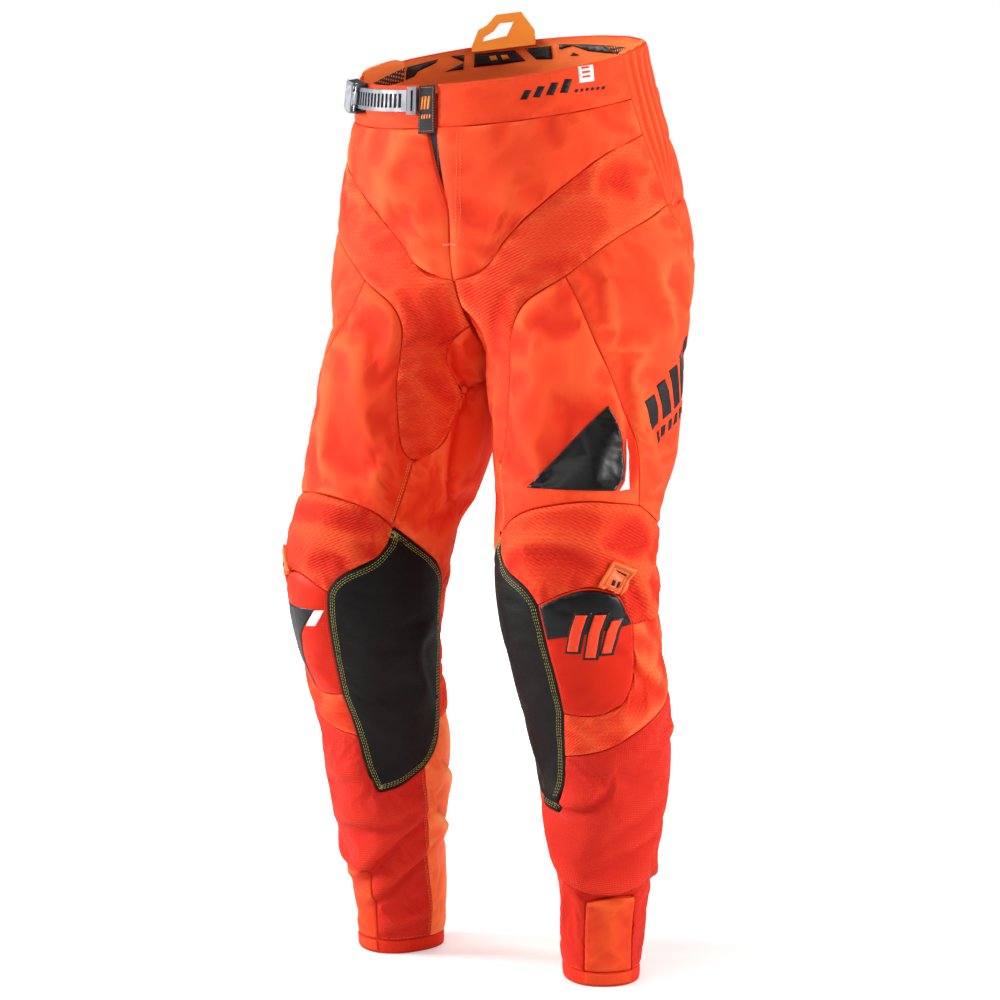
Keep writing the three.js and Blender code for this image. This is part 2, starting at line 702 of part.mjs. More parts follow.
function hangLoop() {
  const shape = shapeOf([[-35, -6], [36, -6], [36, 0], [27, 17], [17, 21], [6, 31], [-22, 31], [-35, 10]]);
  shape.holes.push(shapeOf([[24, 4], [21, 9], [10, 14], [3, 21.5], [-13, 21.5], [-4, 7]]));
  const behind = BAND + LOOP_THICKNESS + 1.8;
  return plate(shape, LOOP_THICKNESS).applyMatrix4(frameOn(waistPoint, LOOP_ANGLE, RIM, behind));
}

// ---------------------------------------------------------------- knee badges

function kneeBadge() {
  const x = BADGE.width / 2;
  const z = BADGE.length / 2;
  const shape = shapeOf([[-x, -z], [x, -z], [x, z], [-x, z]]);
  shape.holes.push(shapeOf([[-4, 7], [6, 7], [6, 9.5], [-4, 9.5]]));
  const tilt = new THREE.Matrix4().makeRotationY(radians(BADGE.tilt));
  const place = frameOn(legPoint, BADGE.angle, BADGE.height, -4);
  return plate(shape, BADGE.thickness).applyMatrix4(place.multiply(tilt));
}

// ---------------------------------------------------------------- fly and zip

// A point of the front by its x, for the pieces of the fly.
function frontPoint(x, height, depth) {
  const { width } = section(HIPS, height);
  return waistPoint(THREE.MathUtils.radToDeg(Math.asin(x / width)), height, depth);
}

function flyStrip(left, right, low, high, depth, thickness, columns = 1, rows = 6) {
  const shape = {
    bottom: [[[left, low], [right, low]]],
    right: [[[right, low], [right, high]]],
    top: [[[left, high], [right, high]]],
    left: [[[left, low], [left, high]]],
  };
  return panel(shape, columns, rows, { surface: frontPoint, depth, thickness, gap: 0 });
}

const ZIP_DEPTH = 6;         // depth of the zip tapes under the face of the cloth

const zipTape = (side) => {
  const inner = ZIP_X + side * 2.4;
  const outer = ZIP_X + side * 16;
  return flyStrip(Math.min(inner, outer), Math.max(inner, outer), ZIP_LOW, 897, ZIP_DEPTH, 0.8);
};

// The closed teeth: a bar with a notch on each side between every two teeth.
function zipChain() {
  const bar = flyStrip(ZIP_X - 2.1, ZIP_X + 2.1, ZIP_LOW + 4, SLIDER_HEIGHT - 8, ZIP_DEPTH - 0.9, 2.6, 1, 8);
  const notches = [];
  for (let height = ZIP_LOW + 8; height < SLIDER_HEIGHT - 12; height += 10) {
    for (const side of [-1, 1]) {
      const x = ZIP_X + side * 1.9;
      notches.push(flyStrip(x - 0.7, x + 0.7, height, height + 1.6, ZIP_DEPTH - 2, 1.8, 1, 1));
    }
  }
  return cut(bar, ...notches);
}

function zipSlider() {
  const front = flyStrip(ZIP_X - 4, ZIP_X + 4, SLIDER_HEIGHT - 12, SLIDER_HEIGHT, ZIP_DEPTH - 2.4, 1.1, 1, 1);
  const back = flyStrip(ZIP_X - 4, ZIP_X + 4, SLIDER_HEIGHT - 12, SLIDER_HEIGHT, ZIP_DEPTH + 2.1, 1, 1, 1);
  const post = flyStrip(ZIP_X - 1, ZIP_X + 1, SLIDER_HEIGHT - 6, SLIDER_HEIGHT, ZIP_DEPTH - 2, 4.6, 1, 1);
  return join(front, back, post);
}

function zipPull() {
  const shape = shapeOf([[-2.6, -24], [2.6, -24], [2, 0], [-2, 0]]);
  shape.holes.push(shapeOf([[-1.2, -21], [1.2, -21], [1.2, -15], [-1.2, -15]]));
  const angle = THREE.MathUtils.radToDeg(Math.asin(ZIP_X / section(HIPS, SLIDER_HEIGHT).width));
  return plate(shape, 0.9).applyMatrix4(frameOn(waistPoint, angle, SLIDER_HEIGHT - 5, ZIP_DEPTH - 3.7));
}

// The black guard that shows where the fly gapes. Its right edge stays clear of the slider.
function flyGuard() {
  const top = 897;
  const low = FLY_LOW;
  return panel({
    bottom: [[[-14, low], [-10, low]]],
    right: [[[-10, low], [-9.6, top]]],
    top: [[[-FLY_SHIFT - 8, top], [-9.6, top]]],
    left: [[[-14, low], [-22, 850], [-FLY_SHIFT - 8, top]]],
  }, 2, 6, { surface: frontPoint, depth: 3, thickness: 1.2, gap: 0 });
}

// ---------------------------------------------------------------- ratchet closure

const closureBox = (low, high, width) =>
  box(high, low, CLOSURE_HEIGHT - width / 2, CLOSURE_HEIGHT + width / 2);

function ladderStrap() {
  const bar = waistBar(closureBox(STRAP.low, STRAP.high, STRAP.width), STRAP.from, STRAP.to, 18);
  const pitch = (STRAP.to - STRAP.from - 4) / STRAP.rungs;
  const slots = Array.from({ length: STRAP.rungs }, (_, i) => {
    const from = STRAP.from + 2 + pitch * (i + 0.2);
    return waistBar(closureBox(STRAP.low + 1, STRAP.high - 1, STRAP.slot), from, from + pitch * 0.6, 1);
  });
  return cut(bar, ...slots);
}

function strapEndFrame() {
  const outer = waistBar(closureBox(-3.6, -6, 28), STRAP.to + 0.4, -11, 2);
  const slot = waistBar(closureBox(-1, -7, 21), -13.4, -12.4, 1);
  return cut(outer, slot);
}

const webbing = () => waistBar(closureBox(-0.6, -1.7, 20), -15, -5.5, 4);

const patchTab = () => waistBar(box(-3.2, -2, 896, 944), -10.8, -4, 3);

// A round bar along the height of the closure, centred on it.
function uprightBar(angle, depth, radius, length, sides = 12) {
  const bar = new THREE.CylinderGeometry(radius, radius, length, sides).rotateX(Math.PI / 2);
  return bar.applyMatrix4(frameOn(waistPoint, angle, CLOSURE_HEIGHT, depth));
}

const pinHole = (pin) => uprightBar(pin.angle, pin.depth, pin.radius + CLEARANCE, 60);

// A channel with two cheeks that carry the pins.
function buckleBase() {
  const low = CLOSURE_HEIGHT - BUCKLE.width / 2;
  const high = CLOSURE_HEIGHT + BUCKLE.width / 2;
  const floor = waistBar(box(-2.3, -0.5, low, high), BUCKLE.from, BUCKLE.to, 4);
  const cheeks = [[low, low + BUCKLE.wall], [high - BUCKLE.wall, high]].map(([from, to]) =>
    waistBar(box(BUCKLE.top, -0.5, from, to), BUCKLE.from, BUCKLE.to, 4));
  return cut(join(floor, ...cheeks), pinHole(LEVER_PIN), pinHole(PAWL_PIN));
}

// The cover stops behind its pin, so that it lifts clear of the cheeks as it opens.
function buckleLever() {
  const half = BUCKLE.width / 2 + 1;
  const profile = [
    [-10.9, CLOSURE_HEIGHT - half], [-12.7, CLOSURE_HEIGHT - half + 3],
    [-12.7, CLOSURE_HEIGHT + half - 3], [-10.9, CLOSURE_HEIGHT + half],
  ];
  const cover = waistBar(profile, BUCKLE.from - 3, LEVER_PIN.angle - 1.1, 6);
  const hub = uprightBar(LEVER_PIN.angle, LEVER_PIN.depth, 2.4, 12);
  const arm = waistBar(closureBox(-8.8, -11.6, 12), LEVER_PIN.angle - 2, LEVER_PIN.angle + 0.1, 1);
  return cut(join(cover, hub, arm), pinHole(LEVER_PIN));
}

function buckleParts() {
  const inner = BUCKLE.width - 2 * BUCKLE.wall - 2 * CLEARANCE;
  const pawlHub = uprightBar(PAWL_PIN.angle, PAWL_PIN.depth, 1.9, 14);
  const pawlArm = waistBar(closureBox(-6, -8.4, 14), PAWL_PIN.angle + 0.3, -54, 3);
  const wire = 0.35;
  const turns = 3;
  const coil = [];
  for (let i = 0; i <= turns * 10; i += 1) {
    const a = (i / 10) * 2 * Math.PI;
    coil.push(new THREE.Vector3(2 * Math.cos(a), 2 * Math.sin(a), 8 + (i / 10) * 0.95));
  }
  const wireSection = new THREE.Shape().absarc(0, 0, wire, 0, 2 * Math.PI);
  const spring = new THREE.ExtrudeGeometry(wireSection, {
    steps: 30, curveSegments: 2, bevelEnabled: false, extrudePath: new THREE.CatmullRomCurve3(coil),
  });
  const place = frameOn(waistPoint, PAWL_PIN.angle, CLOSURE_HEIGHT, PAWL_PIN.depth);
  return {
    pawl: cut(join(pawlHub, pawlArm), pinHole(PAWL_PIN)),
    spring: spring.applyMatrix4(place),
    leverPin: uprightBar(LEVER_PIN.angle, LEVER_PIN.depth, LEVER_PIN.radius, inner + 5.4),
    pawlPin: uprightBar(PAWL_PIN.angle, PAWL_PIN.depth, PAWL_PIN.radius, inner + 5.4),
  };
}

add('front_panel_left', frontPanel(FLAP_SHIFT), COLOURS.shell);
add('front_panel_right', mirrored(frontPanel(FLY_SHIFT)), COLOURS.shell);
addPair('knee_badge', kneeBadge(), COLOURS.rubber, 0.5);
add('waistband_front_left', waistband(-3.4, bandSide, 8), COLOURS.shell);
add('waistband_front_right', waistband(-bandSide, -8.8, 8), COLOURS.shell);
add('waistband_back', waistband(bandRearSide, 360 - bandRearSide, 14), COLOURS.shell);
add('rear_stretch_yoke', yoke(), COLOURS.stretch);
add('waist_grip_strip', gripStrip(), COLOURS.grip, 0.6);
add('hang_loop', hangLoop(), COLOURS.rubber, 0.5);
add('fly_guard', flyGuard(), COLOURS.black);
add('zip_tape_left', zipTape(1), COLOURS.black);
add('zip_tape_right', zipTape(-1), COLOURS.black);
add('zip_chain', zipChain(), COLOURS.black, 0.5);
add('zip_slider', zipSlider(), COLOURS.metal, 0.4, 0.8);
add('zip_pull', zipPull(), COLOURS.metal, 0.4, 0.8);
add('ladder_strap', ladderStrap(), COLOURS.strap, 0.5);
add('strap_end_frame', strapEndFrame(), COLOURS.strap, 0.5);
add('strap_webbing', webbing(), COLOURS.black);
add('patch_tab', patchTab(), COLOURS.black);
add('buckle_base', buckleBase(), COLOURS.metal, 0.4, 0.8);
add('buckle_lever', buckleLever(), COLOURS.strap, 0.35, 0.8);

const inside = buckleParts();
add('buckle_pawl', inside.pawl, COLOURS.metal, 0.4, 0.8);
add('pawl_spring', inside.spring, COLOURS.metal, 0.4, 0.8);
add('lever_pin', inside.leverPin, COLOURS.metal, 0.4, 0.8);
add('pawl_pin', inside.pawlPin, COLOURS.metal, 0.4, 0.8);

// Sections are given from the hips' own axis, and the origin sits under the middle of the box.
const extent = new THREE.Box3().setFromObject(group);
group.position.y = -(extent.min.y + extent.max.y) / 2;

export default group;
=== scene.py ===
"""Motocross riding trousers: sewn cloth, prints, stitches, closure and studio around the CAD frame."""

import json
import math

import bmesh
import bpy
import numpy as np
from mathutils import Vector, noise
from mathutils.bvhtree import BVHTree
from mathutils.geometry import delaunay_2d_cdt
from mathutils.kdtree import KDTree
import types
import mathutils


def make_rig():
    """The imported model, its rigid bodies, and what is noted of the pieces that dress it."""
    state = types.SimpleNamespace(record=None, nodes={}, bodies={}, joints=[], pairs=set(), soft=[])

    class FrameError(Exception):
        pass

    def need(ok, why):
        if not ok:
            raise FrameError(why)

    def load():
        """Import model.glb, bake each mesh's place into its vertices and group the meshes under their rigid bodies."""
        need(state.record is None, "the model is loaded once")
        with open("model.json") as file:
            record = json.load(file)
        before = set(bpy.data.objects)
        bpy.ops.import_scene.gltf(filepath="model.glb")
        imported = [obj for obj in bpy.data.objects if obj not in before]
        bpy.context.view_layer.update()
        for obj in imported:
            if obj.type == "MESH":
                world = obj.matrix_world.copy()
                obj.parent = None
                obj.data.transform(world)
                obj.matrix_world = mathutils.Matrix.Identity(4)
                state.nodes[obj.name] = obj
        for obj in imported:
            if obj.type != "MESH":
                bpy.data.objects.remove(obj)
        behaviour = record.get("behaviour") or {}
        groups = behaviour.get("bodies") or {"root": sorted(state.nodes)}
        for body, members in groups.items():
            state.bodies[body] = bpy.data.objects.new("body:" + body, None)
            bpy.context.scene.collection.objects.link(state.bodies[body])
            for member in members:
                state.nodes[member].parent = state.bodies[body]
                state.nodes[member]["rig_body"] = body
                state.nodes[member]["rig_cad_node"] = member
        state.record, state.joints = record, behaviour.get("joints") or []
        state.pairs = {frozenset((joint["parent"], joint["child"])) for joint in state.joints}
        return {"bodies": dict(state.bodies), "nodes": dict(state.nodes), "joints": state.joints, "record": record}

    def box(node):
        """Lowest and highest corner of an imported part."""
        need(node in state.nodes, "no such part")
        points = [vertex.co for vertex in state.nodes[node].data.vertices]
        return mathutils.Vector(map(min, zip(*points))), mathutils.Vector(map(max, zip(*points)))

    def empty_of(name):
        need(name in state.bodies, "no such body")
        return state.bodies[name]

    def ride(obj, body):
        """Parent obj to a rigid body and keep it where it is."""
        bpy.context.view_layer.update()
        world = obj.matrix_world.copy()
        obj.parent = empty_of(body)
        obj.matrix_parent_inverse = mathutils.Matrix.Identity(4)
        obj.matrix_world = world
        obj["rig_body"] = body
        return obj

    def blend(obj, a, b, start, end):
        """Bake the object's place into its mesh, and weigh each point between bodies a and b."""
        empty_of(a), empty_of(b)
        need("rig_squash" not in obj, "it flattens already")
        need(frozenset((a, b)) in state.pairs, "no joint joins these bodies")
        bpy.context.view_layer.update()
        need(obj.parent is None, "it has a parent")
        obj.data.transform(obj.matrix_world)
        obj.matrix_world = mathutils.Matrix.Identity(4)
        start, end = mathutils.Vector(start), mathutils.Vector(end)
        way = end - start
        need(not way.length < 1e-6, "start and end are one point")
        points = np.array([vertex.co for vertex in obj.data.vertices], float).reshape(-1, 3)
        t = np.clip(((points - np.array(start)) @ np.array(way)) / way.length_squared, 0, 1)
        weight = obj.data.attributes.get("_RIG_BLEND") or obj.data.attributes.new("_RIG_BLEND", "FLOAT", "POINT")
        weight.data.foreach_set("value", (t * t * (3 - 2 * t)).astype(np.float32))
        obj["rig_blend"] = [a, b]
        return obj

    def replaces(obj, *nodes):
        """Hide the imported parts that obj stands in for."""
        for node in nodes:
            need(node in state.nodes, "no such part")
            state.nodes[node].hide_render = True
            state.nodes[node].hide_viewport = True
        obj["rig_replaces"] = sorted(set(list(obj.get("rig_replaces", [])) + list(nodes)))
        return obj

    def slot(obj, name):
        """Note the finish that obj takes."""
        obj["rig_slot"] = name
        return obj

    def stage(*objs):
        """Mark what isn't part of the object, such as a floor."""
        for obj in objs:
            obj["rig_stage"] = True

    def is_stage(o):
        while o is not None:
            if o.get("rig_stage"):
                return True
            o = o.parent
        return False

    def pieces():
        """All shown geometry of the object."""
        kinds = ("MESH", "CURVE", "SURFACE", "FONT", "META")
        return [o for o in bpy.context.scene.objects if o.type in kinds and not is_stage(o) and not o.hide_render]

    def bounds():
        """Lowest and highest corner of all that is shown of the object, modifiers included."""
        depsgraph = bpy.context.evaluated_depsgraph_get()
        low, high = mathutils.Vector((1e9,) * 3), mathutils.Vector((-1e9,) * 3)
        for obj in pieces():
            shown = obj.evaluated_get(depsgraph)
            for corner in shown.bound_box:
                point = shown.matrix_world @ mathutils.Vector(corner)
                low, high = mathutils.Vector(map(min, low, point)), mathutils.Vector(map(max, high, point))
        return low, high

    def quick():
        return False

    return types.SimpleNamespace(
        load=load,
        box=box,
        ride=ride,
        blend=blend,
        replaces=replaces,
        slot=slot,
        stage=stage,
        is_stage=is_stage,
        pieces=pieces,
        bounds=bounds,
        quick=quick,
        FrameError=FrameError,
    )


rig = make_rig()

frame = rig.load()
cad_low, cad_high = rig.bounds()

# ---------------------------------------------------------------- driving values

MM = 0.001
SIDES = {"left": 1, "right": -1}
CLOTH = 1.6 * MM             # thickness of the sewn cloth
WAISTBAND = 3 * MM
CELL = 3.4 * MM              # the finest cells of a panel
SHARP = math.radians(50)     # an edge sharper than this separates two faces of a CAD panel
CORNER = math.radians(38)    # an outline turns by more than this at a corner
WELD = 0.01 * MM
JOIN_BEND = math.radians(40)     # two triangles flatter than this join into a quad
JOIN_SKEW = math.radians(80)
FINEST = 4                   # the most levels of subdivision
RELAX_PASSES = 24            # rounds that even out the cells of a sheet
ROW_STEP = 0.866             # height of an even triangle as a share of its side

JOINTS = {joint["name"]: joint for joint in frame["joints"]}


def box_of(*nodes):
    """The box round several CAD nodes."""
    boxes = [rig.box(node) for node in nodes]
    low = np.min([np.array(box[0]) for box in boxes], axis=0)
    high = np.max([np.array(box[1]) for box in boxes], axis=0)
    return low, high


def middle_of(*nodes):
    low, high = box_of(*nodes)
    return (low + high) / 2


# The axis of the left leg, from the hem to the rim. The right leg mirrors it.
RIM_BOX = box_of("waistband_back", "waistband_front_left", "waistband_front_right")
AXIS = np.array([
    middle_of("hem_left"),
    middle_of("shin_mesh_panel_left", "calf_panel_left"),
    JOINTS["left_knee"]["pos_m"],
    JOINTS["left_hip"]["pos_m"],
    (RIM_BOX[1][0] / 2, (RIM_BOX[0][1] + RIM_BOX[1][1]) / 2, RIM_BOX[0][2]),
])

# Cloth bends between these heights at the knee and at the hip.
KNEE_BEND = (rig.box("thigh_back_left")[0].z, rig.box("shin_stretch_band_left")[0].z)
HIP_BEND = (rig.box("seat_panel_left")[0].z - MM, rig.box("hip_stretch_band_left")[0].z)


def chart(points, side):
    """Angle round the leg's axis in degrees (0 in front, growing to the outside), height and radius."""
    height = points[:, 2]
    x = points[:, 0] * side - np.interp(height, AXIS[:, 2], AXIS[:, 0])
    y = points[:, 1] - np.interp(height, AXIS[:, 2], AXIS[:, 1])
    return np.degrees(np.arctan2(x, -y)), height, np.hypot(x, y)


def axis_point(side, height):
    x = np.interp(height, AXIS[:, 2], AXIS[:, 0]) * side
    return np.array((x, np.interp(height, AXIS[:, 2], AXIS[:, 1]), height))


def side_of(name):
    """1 for a left piece, -1 for a right one and 0 for one round the waist."""
    for side, sign in SIDES.items():
        if name.endswith("_" + side):
            return sign
    return 0


def smooth(value, low, high):
    """Rises softly from 0 at low to 1 at high."""
    t = np.clip((value - low) / (high - low), 0, 1)
    return t * t * (3 - 2 * t)


def unit(rows):
    """Each row at length 1."""
    return rows / np.maximum(np.linalg.norm(rows, axis=1, keepdims=True), 1e-12)


DEGREE = math.radians(1) * 85 * MM      # length of one degree on an average leg
REACH = 0.5                             # how far outside the cloth a ray starts


# ---------------------------------------------------------------- sheets

class Sheet:
    """One side of a panel of cloth: points, quads, and the loops of points round its edge."""

    def __init__(self, name, points, quads):
        self.name = name
        self.points = points
        self.quads = quads
        self.loops = edge_loops(quads)
        self.side = side_of(name)
        self.measure_edge()

    def normals(self):
        p = self.points[self.quads]
        across = np.cross(p[:, 2] - p[:, 0], p[:, 3] - p[:, 1])
        total = np.zeros_like(self.points)
        for corner in range(4):
            np.add.at(total, self.quads[:, corner], across)
        return unit(total)

    def measure_edge(self):
        """Each point's distance to the nearest edge, and that edge point's place along the edge."""
        tree = KDTree(sum(len(loop) for loop in self.loops))
        along = []
        for loop in self.loops:
            ring = self.points[loop]
            steps = np.linalg.norm(np.roll(ring, -1, axis=0) - ring, axis=1)
            place = np.concatenate([[0], np.cumsum(steps)[:-1]])
            for index, length in zip(loop, place):
                tree.insert(self.points[index], len(along))
                along.append(length)
        tree.balance()
        found = [tree.find(point) for point in self.points]
        self.distance = np.array([hit[2] for hit in found])
        self.along = np.array([along[hit[1]] for hit in found])

    def outward(self):
        """For each edge point, the direction that leaves the sheet in its own surface."""
        result = np.zeros_like(self.points)
        normals = self.normals()
        for loop in self.loops:
            ring = self.points[loop]
            ahead = unit(np.roll(ring, -1, axis=0) - ring)
            behind = unit(ring - np.roll(ring, 1, axis=0))
            result[loop] = np.cross(unit(ahead + behind), normals[loop])
        return result


def edge_loops(quads):
    """The ordered loops of points along the edges that have one face only."""
    following = {}
    seen = set()
    for corner in range(4):
        seen.update(zip(quads[:, corner].tolist(), quads[:, (corner + 1) % 4].tolist()))
    for start, end in seen:
        if (end, start) not in seen:
            following[start] = end
    loops = []
    while following:
        start = min(following)
        loop = [start]
        point = following.pop(start)
        while point != start and point in following:
            loop.append(point)
            point = following.pop(point)
        if len(loop) > 2:
            loops.append(np.array(loop))
    return loops


def outward_region(node):
    """A bmesh that holds the outward faces of a CAD panel, with its quads restored."""
    bm = bmesh.new()
    bm.from_mesh(frame["nodes"][node].data)
    bmesh.ops.remove_doubles(bm, verts=bm.verts, dist=WELD)
    bm.normal_update()
    bm.faces.ensure_lookup_table()
    region = {}
    totals = []
    side = side_of(node)
    for seed in bm.faces:
        if seed.index in region:
            continue
        number = len(totals)
        totals.append(0.0)
        region[seed.index] = number
        open_faces = [seed]
        while open_faces:
            face = open_faces.pop()
            middle = face.calc_center_median()
            away = np.array(middle) - (axis_point(side, middle.z) if side else (0, 0, middle.z))
            totals[number] += face.calc_area() * face.normal.dot(Vector(away).normalized())
            for edge in face.edges:
                if len(edge.link_faces) != 2 or edge.calc_face_angle() > SHARP:
                    continue
                for other in edge.link_faces:
                    if other.index not in region:
                        region[other.index] = number
                        open_faces.append(other)
    best = totals.index(max(totals))
    spare = [face for face in bm.faces if region[face.index] != best]
    bmesh.ops.delete(bm, geom=spare, context="FACES")
    bmesh.ops.join_triangles(
        bm, faces=bm.faces, angle_face_threshold=JOIN_BEND, angle_shape_threshold=JOIN_SKEW)
    return bm


def mark_corners(bm):
    """Keeps the corners of an outline sharp in the subdivided sheet."""
    crease = bm.verts.layers.float.new("crease_vert")
    for vert in bm.verts:
        rim = [edge for edge in vert.link_edges if edge.is_boundary]
        if len(rim) != 2:
            continue
        arms = [edge.other_vert(vert).co - vert.co for edge in rim]
        if math.pi - arms[0].angle(arms[1]) > CORNER:
            vert[crease] = 1.0


def subdivided(mesh, levels):
    """The points and quads of a mesh after Catmull-Clark subdivision."""
    piece = bpy.data.objects.new("sheet", mesh)
    bpy.context.scene.collection.objects.link(piece)
    modifier = piece.modifiers.new("smooth", "SUBSURF")
    modifier.levels = levels
    modifier.boundary_smooth = "PRESERVE_CORNERS"
    evaluated = piece.evaluated_get(bpy.context.evaluated_depsgraph_get()).to_mesh()
    points = np.zeros(len(evaluated.vertices) * 3)
    evaluated.vertices.foreach_get("co", points)
    corners = np.zeros(len(evaluated.loops), int)
    evaluated.loops.foreach_get("vertex_index", corners)
    bpy.data.objects.remove(piece)
    return points.reshape(-1, 3), corners.reshape(-1, 4)


def fine_sheet(node, cell=CELL):
    """A smooth, fine sheet through the outward corners of a CAD panel."""
    bm = outward_region(node)
    mark_corners(bm)
    average = sum(edge.calc_length() for edge in bm.edges) / len(bm.edges)
    levels = max(1, min(FINEST, round(math.log2(average / cell))))
    mesh = bpy.data.meshes.new("cage")
    bm.to_mesh(mesh)
    bm.free()
    count = len(mesh.vertices)
    goal = np.zeros(count * 3)
    mesh.vertices.foreach_get("co", goal)
    goal = goal.reshape(-1, 3)
    cage = goal.copy()
    for _ in range(2):
        points, quads = subdivided(mesh, levels)
        cage += goal - points[:count]
        mesh.vertices.foreach_set("co", cage.ravel())
    points, quads = subdivided(mesh, levels)
    return Sheet(node, relaxed(points, quads, RELAX_PASSES), quads)


def neighbour_means(points, pairs, count):
    """The mean of each point's neighbours."""
    start, end = pairs.T
    totals = [np.bincount(start, points[end, k], len(points)) for k in range(3)]
    return np.stack(totals, axis=1) / count


def neighbour_pairs(points, quads):
    """Every pair of neighbouring points, both ways round, and each point's number of them."""
    pairs = np.vstack([quads[:, [corner, (corner + 1) % 4]] for corner in range(4)])
    pairs = np.vstack([pairs, pairs[:, ::-1]])
    return pairs, np.bincount(pairs[:, 0], minlength=len(points))[:, None]


def relaxed(points, quads, passes):
    """Evens out the cells inside a sheet and leaves its edge in place."""
    pairs, count = neighbour_pairs(points, quads)
    free = np.ones(len(points), bool)
    for loop in edge_loops(quads):
        free[loop] = False
    points = points.copy()
    for _ in range(passes):
        means = neighbour_means(points, pairs, count)
        points[free] = 0.5 * (points[free] + means[free])
    return points


def fill_rim(rim, cell):
    """Triangles inside a ring of flat points, with even rows of points between.

    Returns the points, each one's place in the ring or None, and the triangles."""
    low, high = rim.min(0), rim.max(0)
    inner = []
    for row, y in enumerate(np.arange(low[1] + cell / 2, high[1], cell * ROW_STEP)):
        for x in np.arange(low[0] + cell / 2 + (row % 2) * cell / 2, high[0], cell):
            if np.min(np.hypot(*(rim - (x, y)).T)) > cell * 0.55:
                inner.append((x, y))
    points = [Vector(point) for point in rim] + [Vector(point) for point in inner]
    flat, _, triangles, origins, *_ = delaunay_2d_cdt(points, [], [list(range(len(rim)))], 1, 1e-5)
    used = sorted({index for triangle in triangles for index in triangle})
    order = {index: place for place, index in enumerate(used)}
    places = [next((origin for origin in origins[index] if origin < len(rim)), None) for index in used]
    return [flat[index] for index in used], places, [[order[index] for index in face] for face in triangles]


def filled(outline, cell):
    """Triangles that fill a flat outline, with extra points inside it about one cell apart."""
    outline = [np.array(point, float) for point in outline]
    rim = []
    for start, end in zip(outline, outline[1:] + outline[:1]):
        count = max(1, round(np.linalg.norm(end - start) / cell))
        rim.extend(start + (end - start) * step / count for step in range(count))
    flat, _, triangles = fill_rim(np.array(rim), cell)
    return flat, triangles


def regridded(sheet, cell):
    """The same surface with even cells, for a panel whose own cells are narrow. A triangle is a quad
    that repeats its last corner."""
    surface = BVHTree.FromPolygons(sheet.points.tolist(), plain_faces(sheet.quads))
    keep = []
    for index in sheet.loops[0]:
        if not keep or np.linalg.norm(sheet.points[index] - sheet.points[keep[-1]]) > cell * 0.6:
            keep.append(index)
    angle, height, _ = chart(sheet.points[keep], sheet.side)
    rim = np.stack([angle * DEGREE / MM, height / MM], axis=1)
    flat, places, triangles = fill_rim(rim, cell / MM)
    points = []
    for spot, place in zip(flat, places):
        if place is not None:
            points.append(sheet.points[keep[place]])
            continue
        turn = math.radians(spot.x * MM / DEGREE)
        away = Vector((math.sin(turn) * sheet.side, -math.cos(turn), 0))
        middle = Vector(axis_point(sheet.side, spot.y * MM))
        found = surface.ray_cast(middle + away * REACH, -away)[0]
        points.append(np.array(found or surface.find_nearest(middle + away * 0.1)[0]))
    points = np.array(points)
    quads = np.array([(a, b, c, c) for a, b, c in triangles])
    whole = Sheet(sheet.name, points, quads)
    away = points - np.array([axis_point(sheet.side, point[2]) for point in points])
    if (whole.normals() * away).sum() < 0:
        quads = np.array([(a, c, b, b) for a, b, c in triangles])
    return Sheet(sheet.name, relaxed(points, quads, RELAX_PASSES // 2), quads)


def plain_faces(quads):
    """Faces as lists, with a repeated corner dropped."""
    return [list(dict.fromkeys(face)) for face in quads.tolist()]


# ---------------------------------------------------------------- folds

def smooth_path(points, step):
    """A Catmull-Rom curve through points, as points about one step apart."""
    points = np.array(points, float)
    padded = np.vstack([2 * points[0] - points[1], points, 2 * points[-1] - points[-2]])
    result = []
    for i in range(1, len(padded) - 2):
        a, b, c, d = padded[i - 1:i + 3]
        count = max(2, int(np.linalg.norm(c - b) / step) + 1)
        t = np.linspace(0, 1, count, endpoint=False)[:, None]
        result.append(0.5 * (2 * b + (c - a) * t + (2 * a - 5 * b + 4 * c - d) * t ** 2
                             + (3 * b - a - 3 * c + d) * t ** 3))
    return np.vstack(result + [points[-1:]])


FOLD_GAIN = 1.5              # makes every fold deeper than its own lift says


def fold_lift(angle, height, fold):
    """How far a fold lifts each point. The steep side of a leaning fold drops into a valley."""
    points, width, lift, lean = fold
    path = smooth_path([(a * DEGREE, h * MM) for a, h in points], 3 * MM)
    here = np.stack([angle * DEGREE, height], axis=1)
    margin = 4 * width * MM
    low = path.min(axis=0) - margin
    high = path.max(axis=0) + margin
    near = ((here > low) & (here < high)).all(axis=1)
    result = np.zeros(len(here))
    if not near.any():
        return result
    offset = here[near][:, None, :] - path[None, :, :]
    length = np.linalg.norm(offset, axis=2)
    best = length.argmin(axis=1)
    rows = np.arange(len(best))
    tangent = np.gradient(path, axis=0)[best]
    gap = offset[rows, best]
    sign = np.sign(tangent[:, 0] * gap[:, 1] - tangent[:, 1] * gap[:, 0])
    across = sign * length[rows, best] / (width * MM) * (1 if lean > 0 else -1)
    lean = abs(lean)
    taper = np.sin(math.pi * (best + 0.5) / len(path)) ** 0.7
    ridge = np.exp(-np.where(across > 0, across / (1 + 0.9 * lean), across / (1 - 0.55 * lean)) ** 2)
    valley = lean * 0.75 * np.exp(-((across + 1.05) / 0.6) ** 2)
    result[near] = FOLD_GAIN * lift * MM * taper * (ridge - valley)
    return result


